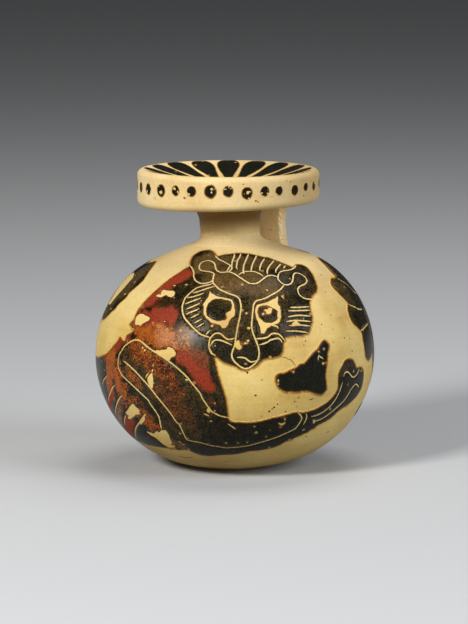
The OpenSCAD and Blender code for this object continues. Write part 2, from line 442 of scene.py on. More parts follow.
def throwGlobe():
    last = alongAt(neckFoot, heightOnShoulder(neckFoot))
    steps = round(last / globe["ringGap"])
    outside = [sectionAt(last * i / steps)[:2] for i in range(steps + 1)]
    lastInside = alongAt(neck["bore"], heightOnShoulder(neck["bore"], wallArcs), wallArcs)
    rings = globe["insideRings"]
    inside = [sectionAt(lastInside * (1 - i / rings), wallArcs)[:2] for i in range(rings + 1)]
    outside[0] = (0, outside[0][1])
    inside[-1] = (0, inside[-1][1])
    top = between((neckFoot, shoulderTop), (neck["bore"], shoulderTop), 1)
    bore = between((neck["bore"], shoulderTop), inside[0], 1)
    piece = throwOnWheel("thrown_globe", outside + top + bore + inside, globe["turns"], clay, leaning)
    # The flat that the flask stands on, and the level floor inside it
    for v in piece.data.vertices:
        level = globe["floor"] * mm if v.co.z > globe["floor"] * mm / 2 else 0
        if v.co.z < level and math.hypot(v.co.x, v.co.y) < globe["rest"] * globe["flatReach"] * mm:
            v.co.z = level
    finishPiece(piece, "globe")


throwGlobe()
print("globe thrown")


def throwNeck():
    foot, waist = (neckFoot, 0), (neckRadius, neck["waistHeight"])
    flareCentre = (neckRadius + neck["taper"] + neck["flareCurve"], neck["height"] - neck["flareCurve"])
    flare = arcPoints(flareCentre, neck["flareCurve"], 180, 180 - neck["flareEnd"], neck["ringGap"])
    low, high = -neck["sunk"], neck["height"] + neck["sunk"]
    corners = [(neck["bore"], low), (neckFoot, low), foot, waist, flare[0]]
    section = []
    for a, b in zip(corners, corners[1:]):
        section += between(a, b, neck["ringGap"])
    section += flare + between((flare[-1][0], high), (neck["bore"], high), 1)
    section += between((neck["bore"], high), corners[0], 1) + [corners[0]]
    piece = throwOnWheel("thrown_neck", section, neck["turns"], oiledAndShadedClay,
                         leaning @ Matrix.Translation((0, 0, shoulderTop)))
    finishPiece(piece, "neck")


# Points of a smooth curve from a to b that leaves a towards aHandle and reaches b from bHandle
def bezier(a, aHandle, bHandle, b, count):
    points = geometry.interpolate_bezier(Vector(a).to_3d(), Vector(aHandle).to_3d(), Vector(bHandle).to_3d(),
                                         Vector(b).to_3d(), count)
    return [(p.x, p.y) for p in points]


# Clay bead round the neck's foot: its width and rise, how far its face's curve is drawn out at its ends,
# and how deep it sits in the neck and in the shoulder
bead = {"width": 2.2, "rise": 0.9, "drawn": (2.0, 1.9), "steps": 14, "proud": 0.02, "inNeck": 0.4,
        "inShoulder": 0.3, "heel": 0.2}


def smoothNeckBead():
    edge = neckFoot + bead["width"]
    low = Vector((edge, heightOnShoulder(edge) - shoulderTop))
    high = Vector((neckRadius + bead["proud"], neck["waistHeight"] + bead["rise"]))
    lowDrawn, highDrawn = bead["drawn"]
    face = bezier(low, low + lowDrawn * direction(90 + globe["shoulderEnd"]),
                  high - Vector((0, highDrawn)), high, bead["steps"])
    heel = (neckRadius - bead["inNeck"], low.y - bead["heel"])
    section = [heel, (edge - bead["inShoulder"], low.y - bead["inShoulder"])] + face
    section += [(neckRadius - bead["inNeck"], high.y), heel]
    piece = throwOnWheel("smoothed_neck_bead", section, neck["turns"], clay,
                         leaning @ Matrix.Translation((0, 0, shoulderTop)))
    finishPiece(piece, "neck_luting")


throwNeck()
smoothNeckBead()

# The mouth disc, with heights from its level rim, and where the leaning axis meets its underside
disc = {"radius": 32.4, "thickness": 12.1, "tilt": 1.6, "dishDepth": 5.5, "dishEdge": 0.1375,
        "dishHollow": 0.6, "lip": 2.9, "lipRound": 0.5, "topEdge": 2, "lowEdge": 2.3, "levelSide": 3,
        "boreEdge": 0.5, "boreBend": 1.2, "turns": 288, "ringGap": 0.6, "edgeGap": 0.3, "bendSteps": 8}
discSeat = leaning @ Vector((0, 0, shoulderTop + neck["height"]))
rimHeight = discSeat.z + disc["thickness"]
discAxis = discSeat.x - math.tan(math.radians(globe["lean"])) * (disc["thickness"] - disc["dishDepth"])


# Height of the dish below the rim at a radius
def dishAt(radius):
    outer = disc["radius"] - disc["lip"]
    share = (radius - neck["bore"]) / (outer - neck["bore"])
    deep, shallow = -disc["dishDepth"], -disc["dishEdge"]
    return deep + (shallow - deep) * share - 4 * disc["dishHollow"] * share * (1 - share)


def throwDisc():
    radius, thick, bore, gap = disc["radius"], disc["thickness"], neck["bore"], disc["ringGap"]
    low, top, fine, steps = disc["lowEdge"], disc["topEdge"], disc["edgeGap"], disc["bendSteps"]
    lowEdge = arcPoints((radius - low, low - thick), low, -90, 0, fine)
    topEdge = arcPoints((radius - top, -top), top, 0, 80, fine)
    lipIn = radius - disc["lip"]
    inner = lipIn - disc["lipRound"]
    lip = bezier(topEdge[-1], (radius - top - 0.3, 0.02), (lipIn + disc["lipRound"], 0.02),
                 (inner, dishAt(inner)), steps)
    dish = [(inner - gap * i, dishAt(inner - gap * i)) for i in range(1, int((lipIn - bore - 1) / gap))]
    brink = bore + disc["boreEdge"]
    mouth = bezier(dish[-1], (brink, dishAt(brink)), (bore, dishAt(bore)),
                   (bore, dishAt(bore) - disc["boreBend"]), steps)
    section = between((bore, -thick), lowEdge[0], 1) + lowEdge + between(lowEdge[-1], topEdge[0], gap)[1:]
    section += topEdge + lip[1:] + dish + mouth[1:]
    section += between(mouth[-1], (bore, -thick), 1)[1:] + [(bore, -thick)]
    piece = throwOnWheel("thrown_mouth_disc", section, disc["turns"], discClayDarkerTowardsX,
                         Matrix.Translation((discAxis, 0, rimHeight)))
    slope, lean = math.tan(math.radians(disc["tilt"])), math.tan(math.radians(globe["lean"]))
    for v in piece.data.vertices:
        x, y, z = v.co / mm
        depth = rimHeight - z
        if math.hypot(x - discAxis, y) < bore + 0.01 and depth > disc["dishDepth"]:
            # The bore follows the leaning axis
            x += lean * (depth - disc["dishDepth"])
        # The underside tilts, and the side makes up for it
        share = min(max((depth - disc["levelSide"]) / (thick - low - disc["levelSide"]), 0), 1)
        v.co = Vector((x, y, z + share * slope * (x - discSeat.x))) * mm
    return finishPiece(piece, "mouth_disc")


discPiece = throwDisc()
print("neck and mouth disc thrown")

# The strap, seen from behind: X along its width, Y outwards, Z up the leaning axis
strap = {"turn": 27, "gap": 8.8, "width": 23, "thick": 4.7, "bow": 45, "waist": 0.9, "corner": 0.9,
         "crown": 0.35, "atHead": (1.8, 3.2), "atFoot": (0.2, 1.6), "sunk": 0.8, "below": 1.6, "waves": 0.12,
         "chips": 2.6, "around": 240, "rings": 72}
strapIn = neckRadius + strap["gap"]
strapFoot = heightOnShoulder(strapIn + strap["thick"] / 2, sectionArcs(0))
strapHead = shoulderTop + neck["height"]
strapMiddle, strapHalf = (strapFoot + strapHead) / 2, (strapHead - strapFoot) / 2
atHandle = leaning @ Matrix.Rotation(math.radians(-strap["turn"]), 4, "Z")


# Y of the strap's middle plane at a height
def strapBow(height):
    curve = strap["bow"] + strap["thick"] / 2
    return strapIn - strap["bow"] + math.sqrt(curve ** 2 - (height - strapMiddle) ** 2)


# Outline of the strap at a height, as a point and its outward direction: straight sides and round corners
# in turn. The strap spreads towards its seats
def strapOutline(share, height):
    toEnd = strapHalf - abs(height - strapMiddle)
    end = min(max(1 - toEnd / strapHalf, 0), 1.1)
    spread, reach = strap["atHead"] if height > strapMiddle else strap["atFoot"]
    near = math.exp(-max(toEnd, 0) / reach)
    halfWidth = strap["width"] / 2 - strap["waist"] * (1 - end ** 2) + spread * near
    halfThick = strap["thick"] / 2 + 0.5 * spread * near
    corner = strap["corner"] + 0.4 * near
    straightX, straightY = halfWidth - corner, halfThick - corner
    bend = math.pi / 2 * corner
    # Each straight side with its start and its way, and each corner with its centre and its first angle
    parts = [(2 * straightX, (-straightX, -halfThick), (1, 0)), (bend, (straightX, -straightY), -90),
             (2 * straightY, (halfWidth, -straightY), (0, 1)), (bend, (straightX, straightY), 0),
             (2 * straightX, (straightX, halfThick), (-1, 0)), (bend, (-straightX, straightY), 90),
             (2 * straightY, (-halfWidth, straightY), (0, -1)), (bend, (-straightX, -straightY), 180)]
    way = share * sum(length for length, _, _ in parts)
    for side, (length, start, run) in enumerate(parts):
        if way <= length or side == len(parts) - 1:
            break
        way -= length
    if side % 2:
        out = direction(run + math.degrees(way / corner))
        point = Vector(start) + corner * out
    else:
        out = Vector((run[1], -run[0]))
        point = Vector(start) + way * Vector(run)
    # The broad faces are a little crowned
    crown = strap["crown"] * (1 - (point.x / halfWidth) ** 2) * out.y
    return Vector((point.x, point.y + crown + strapBow(height))), out


# Closed mesh over rings of points, all the same way round: capped at its ends, or run back into itself
def skinRings(rings, capped):
    around = len(rings[0])
    points = [p for ring in rings for p in ring]
    faces = []
    for j in range(len(rings) - 1 if capped else len(rings)):
        shift = ((j + 1) % len(rings) - j) * around
        for i in range(around):
            a, b = j * around + i, j * around + (i + 1) % around
            faces.append((a, b, b + shift, a + shift))
    if capped:
        faces.append(tuple(reversed(range(around))))
        faces.append(tuple(range((len(rings) - 1) * around, len(rings) * around)))
    return points, faces


def pullStrap():
    rings = []
    low, high = strapFoot - strap["below"] - strap["sunk"], strapHead + strap["sunk"]
    for j in range(strap["rings"] + 1):
        height = low + (high - low) * j / strap["rings"]
        ring = []
        for i in range(strap["around"]):
            p, out = strapOutline(i / strap["around"], height)
            spot = Vector((p.x, p.y, height))
            chip = max(noise.noise(spot * 0.9) - 0.1, 0)
            wave = strap["waves"] * noise.noise(spot * 0.16) - strap["chips"] * chip * abs(out.x * out.y)
            ring.append(atHandle @ Vector((p.x + wave * out.x, p.y + wave * out.y, height)))
        rings.append(ring)
    finishPiece(makeMesh("pulled_strap_handle", *skinRings(rings, True), scrapedClayWithPaintedLight), "strap_handle")


# Clay pressed round an end of the strap: a collar that runs out on the surface it is pressed on, unevenly,
# and whose hidden corners sit in the strap and in that surface
pressed = {"steps": 10, "around": 128, "uneven": 0.28, "hollow": 0.85, "inStrap": 0.9, "toe": 0.1,
           "inToe": 0.35}


def pressClay(name, node, atFoot, spread, rise):
    steps, count = pressed["steps"], pressed["around"]
    rings = []
    for i in range(count):
        ring = []
        share = i / count
        base, out = strapOutline(share, strapFoot if atFoot else strapHead)
        place = Vector((base.x * 0.22, base.y * 0.3, 7 if atFoot else 3))
        press = 1 + pressed["uneven"] * noise.noise(place)
        shape = [(-pressed["inStrap"], rise * press)]
        for t in range(steps + 1):
            angle = math.pi / 2 * t / steps
            shape.append((spread * press * (1 - math.cos(angle)),
                          rise * press * (1 - math.sin(angle)) ** pressed["hollow"]))
        shape += [(shape[-1][0] + pressed["toe"], -pressed["inToe"]),
                  (-pressed["inStrap"], -pressed["inStrap"])]
        for away, up in shape:
            spot = base + away * out
            if atFoot:
                height = heightOnShoulder(spot.length) + up
            else:
                height = strapHead - spot.x * math.tan(math.radians(globe["lean"] - disc["tilt"])) - up
            # The collar's inner edge follows the strap as it bends and spreads
            bowed = strapOutline(share, height)[0]
            follow = (bowed - base) * max(0, 1 - max(away, 0) / spread)
            ring.append(atHandle @ Vector((spot.x + follow.x, spot.y + follow.y, height)))
        rings.append(ring if atFoot else ring[::-1])
    finishPiece(makeMesh(name, *skinRings(rings, False), clay), node)


pullStrap()
pressClay("pressed_handle_foot", "handle_foot_luting", True, 0.9, 0.8)
pressClay("pressed_handle_head", "handle_head_luting", False, 1.2, 1.0)
print("handle pulled and pressed on")

# The painting is unrolled on a sheet: u is the turn as a length at this radius, v the distance along the
# section. The slip's skin lies between two heights, from under the clay's surface to its lift over it, and
# all lengths are in millimetres
slip = {"sheetRadius": 44, "lift": 0.05, "under": -0.04, "step": 0.5, "grid": 1.2, "fringe": 0.7,
        "reach": 1.12, "thinnest": 0.12, "room": 0.35, "line": 0.55, "taper": 1.5, "ragged": 0.13,
        "fleckSides": 12}


# A place given as a turn in degrees and a distance along the section, on the sheet
def flat(turn, along):
    return Vector((math.radians(turn) * slip["sheetRadius"], along))


def fromPhoto(points):
    return [flat(*fromPixel(x, y)) for x, y in points]


# Places that the photograph doesn't show, as turn and distance along the section
def fromSide(points):
    return [flat(turn, along) for turn, along in points]


def unflat(point, lift=0):
    return onGlobe(math.degrees(point.x / slip["sheetRadius"]), point.y, lift)


# A true millimetre is shorter on the sheet's u where the globe is narrower
def sheetScale(along):
    return max(sectionAt(float(along))[0], 5) / slip["sheetRadius"]


# A smooth line through all the points, in steps of about the same length
def flowing(points, closed=False, step=slip["step"]):
    count = len(points)
    line = []
    for i in range(count if closed else count - 1):
        b, c = points[i], points[(i + 1) % count]
        a = points[i - 1] if closed or i else b + (b - c)
        d = points[(i + 2) % count] if closed or i < count - 2 else c + (c - b)
        pieces = max(1, round((c - b).length / step))
        for j in range(pieces):
            t = j / pieces
            line.append(0.5 * (2 * b + (c - a) * t + (2 * a - 5 * b + 4 * c - d) * t ** 2
                               + (3 * b - a - 3 * c + d) * t ** 3))
    return line if closed else line + [points[-1]]


# Outward step of a true length from each point of a line on the sheet
def sideSteps(line, closed):
    steps = []
    for i, p in enumerate(line):
        a = line[i - 1] if closed or i else p
        b = line[(i + 1) % len(line)] if closed or i < len(line) - 1 else p
        scale = sheetScale(p.y)
        along = Vector(((b.x - a.x) * scale, b.y - a.y))
        along = along.normalized() if along.length > 1e-9 else Vector((1, 0))
        steps.append(Vector((along.y / scale, -along.x)))
    return steps


# A line scratched with a point: it starts and ends thin, and wavers a little
def scratch(points, width=slip["line"], seed=0):
    line = flowing(points)
    steps = sideSteps(line, False)
    total = (len(line) - 1) * slip["step"]
    left, right = [], []
    for i, (p, side) in enumerate(zip(line, steps)):
        end = min(i, len(line) - 1 - i) * slip["step"]
        half = width / 2 * min(1, 0.45 + 0.55 * end / min(slip["taper"], max(total / 2, 0.1)))
        half *= 1 + 0.5 * noise.noise(Vector((i * 0.75, seed, 0)))
        waver = 0.09 * noise.noise(Vector((i * 0.6, seed, 5)))
        left.append(p - (half - waver) * side)
        right.append(p + (half + waver) * side)
    return left + right[::-1]


# Edge of a brushed or flaked patch, which is never quite smooth
def ragged(loop, amount=slip["ragged"]):
    def waver(p):
        return noise.noise(Vector((p.x, p.y, 3)) * 1.3) + 0.7 * noise.noise(Vector((p.x, p.y, 8)) * 3)

    return [p + amount * waver(p) * s for p, s in zip(loop, sideSteps(loop, True))]


# Round flake or dot with an uneven edge, at a point of the sheet, with its true radii
def fleck(centre, wide, high, seed=0, sides=10, uneven=0.3):
    scale = sheetScale(centre.y)
    ring = []
    for i in range(sides):
        angle = 2 * math.pi * i / sides
        size = 1 + uneven * noise.noise(Vector((math.cos(angle) * 1.3, math.sin(angle) * 1.3, seed * 3.7)))
        ring.append(centre + Vector((wide * size * math.cos(angle) / scale, high * size * math.sin(angle))))
    return ring


# Points of the sheet as rows of numbers
def rows(points):
    return np.array([tuple(p) for p in points]).reshape(-1, 2)


# True for each spot inside a closed loop, by how often the loop winds round it
def windingInside(spots, loop):
    loop = rows(loop)
    following = np.roll(loop, -1, axis=0)
    low, high = loop.min(axis=0), loop.max(axis=0)
    near = np.where(((spots >= low) & (spots <= high)).all(axis=1))[0]
    inside = np.zeros(len(spots), bool)
    if len(near):
        x, y = spots[near, 0][:, None], spots[near, 1][:, None]
        (ax, ay), (bx, by) = loop.T, following.T
        side = (bx - ax) * (y - ay) - (x - ax) * (by - ay)
        up, down = (ay <= y) & (by > y) & (side > 0), (ay > y) & (by <= y) & (side < 0)
        inside[near] = (up.sum(axis=1) - down.sum(axis=1)) != 0
    return inside


def inAny(spots, loops):
    found = np.zeros(len(spots), bool)
    for loop in loops:
        found |= windingInside(spots, loop)
    return found


# Strength of each coat at the points, from strokes laid one over another: start, end, radius, three coats
def coats(points, strokes, ground):
    values = np.tile(np.array(ground, float), (len(points), 1))
    uneven = np.array([0.5 * noise.noise(Vector(p) * 0.35) + 0.35 * noise.noise(Vector(p) * 1.1)
                       for p in points])
    for start, end, radius, *coat in strokes:
        a, b = np.array(unflat(start)), np.array(unflat(end))
        share = np.clip(((points - a) @ (b - a)) / max((b - a) @ (b - a), 1e-9), 0, 1)
        gap = np.linalg.norm(points - a - share[:, None] * (b - a), axis=1) / radius
        hold = np.clip((1.4 - gap - 0.8 * uneven) / 0.9, 0, 1)[:, None]
        values += (np.array(coat) - values) * hold ** 2 * (3 - 2 * hold)
    return values


# A loop grown by the fringe's true width
def fringed(loop, fringe):
    turning = sum(a.x * b.y - b.x * a.y for a, b in zip(loop, loop[1:] + loop[:1]))
    sign = 1 if turning > 0 else -1
    return [p + sign * fringe * s for p, s in zip(loop, sideSteps(loop, True))]


# Edges of the slip on the globe, without those that another outline covers, and the edges of its flakes
def openEdges(outlines, flakes):
    found = []
    for k, loop in enumerate(outlines):
        edge = rows(loop)
        found.append(edge[~inAny(edge, outlines[:k] + outlines[k + 1:])])
    return np.concatenate(found + [rows([p for loop in flakes for p in loop])])


# Points about a grid's width apart within the outlines
def gridWithin(outlines, corners):
    low, high = corners.min(axis=0) - 1, corners.max(axis=0) + 1
    grid = np.array([(u, v) for v in np.arange(low[1], high[1], slip["grid"])
                     for u in np.arange(low[0], high[0], slip["grid"] / sheetScale(v))])
    return grid[inAny(grid, outlines)]


# Stores a value or a vector for each point of a mesh
def store(mesh, name, values, kind="FLOAT"):
    field = "value" if kind == "FLOAT" else "vector"
    mesh.attributes.new(name, kind, "POINT").data.foreach_set(field, np.array(values, np.float32).ravel())


# Lays one coat of slip: a closed skin between the outlines, less what is scratched or flaked away, with a
# thin brown fringe outside it. Each point knows its distance from the slip's edge, where it is brown, and
# small drops are given more than that distance, so that they stay dark
def laySlip(name, outlines, scratches, flakes, strokes, ground, fringe=slip["fringe"], more=0.0):
    onSlip = inAny(rows([sum(loop, Vector((0, 0))) / len(loop) for loop in flakes]), outlines)
    flakes = [loop for loop, held in zip(flakes, onSlip) if held or len(loop) > slip["fleckSides"]]
    spots, links = [], []
    for loop in outlines + scratches + flakes:
        first = len(spots)
        spots += [tuple(p) for p in loop]
        links += [(first + i, first + (i + 1) % len(loop)) for i in range(len(loop))]
    grid = gridWithin(outlines, np.array(spots))
    edges = openEdges(outlines, flakes)
    tree = kdtree.KDTree(len(edges))
    for i, spot in enumerate(edges):
        tree.insert(unflat(Vector(spot)), i)
    tree.balance()

    def clear(spot, least):
        return tree.find(unflat(Vector(spot)))[2] > least

    spots += [tuple(p) for p in grid if clear(p, slip["room"])]
    rims = rows([p for loop in outlines for p in fringed(loop, fringe)])
    spots += [tuple(p) for p in rims[~inAny(rims, outlines)] if clear(p, 0.8 * fringe)]
    verts, _, faces = geometry.delaunay_2d_cdt([Vector(p) for p in spots], links, [], 0, 1e-5)[:3]
    flatVerts = rows(verts)
    faces = [f for f in faces if len(f) == 3]
    middles = flatVerts[np.array(faces)].mean(axis=1)
    painted = inAny(middles, outlines)
    gone = inAny(middles, scratches + flakes)
    away = np.array([tree.find(unflat(v))[2] for v in verts])
    within = inAny(flatVerts, outlines)
    # The fringe is what lies close outside, by its corners and by its middle, so that it bridges no gap
    reach = fringe * slip["reach"]
    thin = ~painted & (np.where(within, 0, away)[np.array(faces)].max(axis=1) < reach)
    for i in np.where(thin)[0]:
        thin[i] = not clear(middles[i], reach)
    kept = [f for f, p, g, t in zip(faces, painted, gone, thin) if (p or t) and not g]
    used = sorted({i for f in kept for i in f})
    number = {old: new for new, old in enumerate(used)}
    # The skin thins to nearly nothing across its fringe
    signed = np.where(within, away, -away)[used]
    shares = np.clip(1 + signed / fringe, slip["thinnest"], 1)
    top = [unflat(verts[i], slip["lift"] * share) for i, share in zip(used, shares)]
    under = [unflat(verts[i], slip["under"]) for i in used]
    count = len(used)
    skin = [tuple(number[i] for i in f) for f in kept]
    rim = {pair: True for a, b, c in skin for pair in ((a, b), (b, c), (c, a))}
    walls = [(b, a, a + count, b + count) for a, b in rim if (b, a) not in rim]
    allFaces = skin + [tuple(i + count for i in reversed(tri)) for tri in skin] + walls
    piece = makeMesh(name, top + under, allFaces, slipped)
    values = coats(np.array([tuple(p) for p in top]), strokes, ground)
    store(piece.data, "edge", np.tile(signed + more, 2))
    store(piece.data, "coat", np.tile(values, (2, 1)), "FLOAT_VECTOR")
    print(name, "has", len(allFaces), "faces")
    finishPiece(piece, None)


# The panther, traced in pixels of the photograph; its hind part follows on the side that isn't seen
panther = {
    "roughFlakes": 1.7,
    "front": [(190, 266), (190.7, 262), (193, 256.5), (196, 254), (200, 251.8), (204, 250.6), (209, 250.3),
              (213, 252), (215.3, 254.5), (217, 256.3), (220, 256), (225, 254.8), (230, 254.3),
              (235, 253.5), (240, 253.3), (245, 253.6), (250, 254.2), (256, 255.5), (264.5, 257.5),
              (268, 257.8), (276, 260.8), (285, 264.3), (289, 266), (292.8, 267.7), (296.5, 265),
              (300, 264.8), (304, 266), (307.5, 268.5), (312.5, 275), (314.3, 279), (316.5, 286),
              (316.8, 289), (315.8, 292), (311.5, 296.5), (309.6, 303), (310.4, 310.2), (311.7, 316.8),
              (311.7, 323), (309.4, 330.6), (307.8, 333.4), (305, 334.7), (301.4, 335.7), (294.8, 336),
              (289.7, 336.3), (286.7, 337), (285.2, 338), (284.9, 340.8), (283.6, 343.4), (283, 350),
              (281.8, 353), (279, 356.1), (273.4, 357.7), (269.3, 358.2), (264.2, 359.2), (260.1, 362.2),
              (256, 366), (252, 368), (248, 369.5), (244, 370), (240, 369), (235, 366.5), (227, 363.5),
              (223, 361.8), (220, 359.5), (217.5, 357.5), (215.5, 356.5), (214.5, 359), (215.5, 364),
              (218.5, 376), (220.5, 382), (224, 393), (225.7, 398), (227.2, 409), (227.8, 415),
              (228.8, 419.5), (231, 421.8), (235, 422.4), (240, 422.6), (250.2, 423), (254.8, 422.5),
              (264, 420.7), (273.2, 418.1), (283.4, 415.8), (293.1, 413), (297.1, 412.5), (301.2, 412.8),
              (306.3, 412.2), (315.5, 409.4), (320, 406.8), (326.8, 402.7), (330.6, 399.2), (333.7, 395.8),
              (336.7, 391.2), (338.1, 386.6), (338.1, 377.4), (338.6, 373.6), (339.8, 370.6),
              (343.2, 363.7), (344.4, 361), (346.7, 359.5), (349.7, 358.9), (352.4, 360.2), (354.3, 362.9),
              (355.5, 366), (357, 367.9), (359.7, 367.1), (362, 368.3), (363.1, 370.6), (363.4, 375.9),
              (362, 385.1), (360.8, 388.9), (355.9, 396.6), (349, 403.5), (339.8, 409.6), (331.4, 417.2),
              (326.8, 420.3), (316.8, 425.6), (314.5, 428.1), (311.4, 429.1), (309.9, 430.6),
              (302.8, 434.2), (294.6, 437.5), (291, 439.8), (285.9, 441.3), (278.3, 445.4), (268.1, 448.5),
              (257.9, 450.3), (249.2, 451), (241.5, 452.9), (232.9, 454.2), (220.2, 454.8), (209.9, 455.8),
              (199.7, 454.5), (192.1, 451.6), (189.5, 450), (184.4, 449.4), (179.3, 449.7), (167.9, 448.1),
              (155.1, 446.2), (150, 445.3), (143.5, 443), (137.2, 440), (134, 437.5)],
    "hind": [(-77, 42), (-85, 42.6), (-93, 45.5), (-100, 49), (-105, 49.5), (-108.5, 46), (-109, 41),
             (-106.5, 37.5), (-101, 36.3), (-96.5, 35), (-94.5, 32.5), (-96, 30.4), (-103, 29.6),
             (-112, 29.6), (-119, 30), (-122, 32.5), (-121.5, 37), (-123, 42), (-126, 46.5), (-129.5, 49),
             (-133, 47), (-135.5, 42.5), (-136.5, 38), (-134, 36.2), (-129.5, 35), (-127.5, 32.7),
             (-129.5, 30.4), (-137, 29.8), (-146, 29.9), (-153, 30.2), (-156.5, 32.8), (-156, 38),
             (-157, 45), (-160.5, 52), (-163.5, 60), (-163, 67), (-159, 73), (-152, 77.5), (-143, 79.5),
             (-133, 79), (-123, 76.5), (-113, 74), (-103, 72.8), (-93, 73.2), (-86, 74)],
    "back": [(96.7, 356.9), (98.9, 357.5), (105.3, 355), (107.9, 353.1), (111, 349.6), (118.1, 340.9),
             (119.7, 337.7), (120.9, 337.1), (121.6, 339.3), (123.2, 340.9), (125.1, 341.2), (126.4, 336.7),
             (127.6, 335.1), (131.5, 332.9), (133.2, 330.4), (132.7, 327.8), (129.9, 324.3), (131.5, 322.7),
             (134, 319.5), (136.9, 313.1), (138.5, 310), (140.1, 307.7), (143.6, 307.7), (144.2, 305.5),
             (142.6, 304.8), (144.2, 302.6), (151.2, 295.3), (158.9, 288.3), (169.7, 279.3), (179.9, 272.6),
             (185, 269.1)],
    "tail": [(155.1, 261.5), (151.2, 262.4), (146.1, 264), (141, 267.2), (131.5, 273.6), (125.7, 277.4),
             (115.5, 288.9), (111.7, 294.6), (108.5, 301), (105.3, 307.4), (102.8, 317), (103.7, 319.2),
             (106.6, 317), (113, 310.6), (115.5, 308.7), (118.1, 304.8), (126.4, 297.2), (129.5, 292.7),
             (137.2, 286), (141, 282.5), (144.8, 278.1), (151.2, 268.5), (154.7, 263.4)],
    "tailFromRump": [(-156, 73), (-151, 81), (-142, 88.5), (-130, 92.8), (-117, 92.6), (-105, 89.6),
                     (-95, 88.2), (-86, 90)],
    "tailTip": [(-84, 108), (-92, 110.6), (-102, 111.4), (-112, 110.4), (-122, 107.8), (-130, 104)],
    "tailLoop": [(127.6, 281.8), (123.4, 285.4), (119, 290), (115, 295.2), (112, 300.2), (114.4, 298.8),
                 (118.6, 293.8), (122.4, 289), (126.2, 284.8)],
    "tailWidth": 6.5,
    "tailTuft": [(-127, 110), (-134, 109), (-140, 104), (-142, 98.5), (-138, 96.5), (-132, 99),
                 (-127, 104)],
}

# Blot between the panther's chest and its paw
blot = [(323.8, 340.3), (326.1, 341.5), (328.4, 343.8), (328.9, 346.6), (327.5, 353.5), (327.3, 359.9),
        (325.5, 375.9), (326.7, 387.4), (325.8, 390.3), (321.5, 394.6), (318.6, 394.6), (310, 391.7),
        (305.4, 390.8), (295.1, 392), (290.5, 391.3), (286.5, 392), (280.2, 389.1), (277.9, 386.8),
        (276.5, 384), (275.3, 377.6), (276.5, 375.3), (279, 373.9), (285.4, 372.8), (290.5, 369.9),
        (296.8, 367.3), (300.8, 363.9), (304.3, 363.6), (308.9, 358.1), (314.6, 351.5), (316.9, 349.8),
        (320.1, 344.9), (321.2, 342.3)]

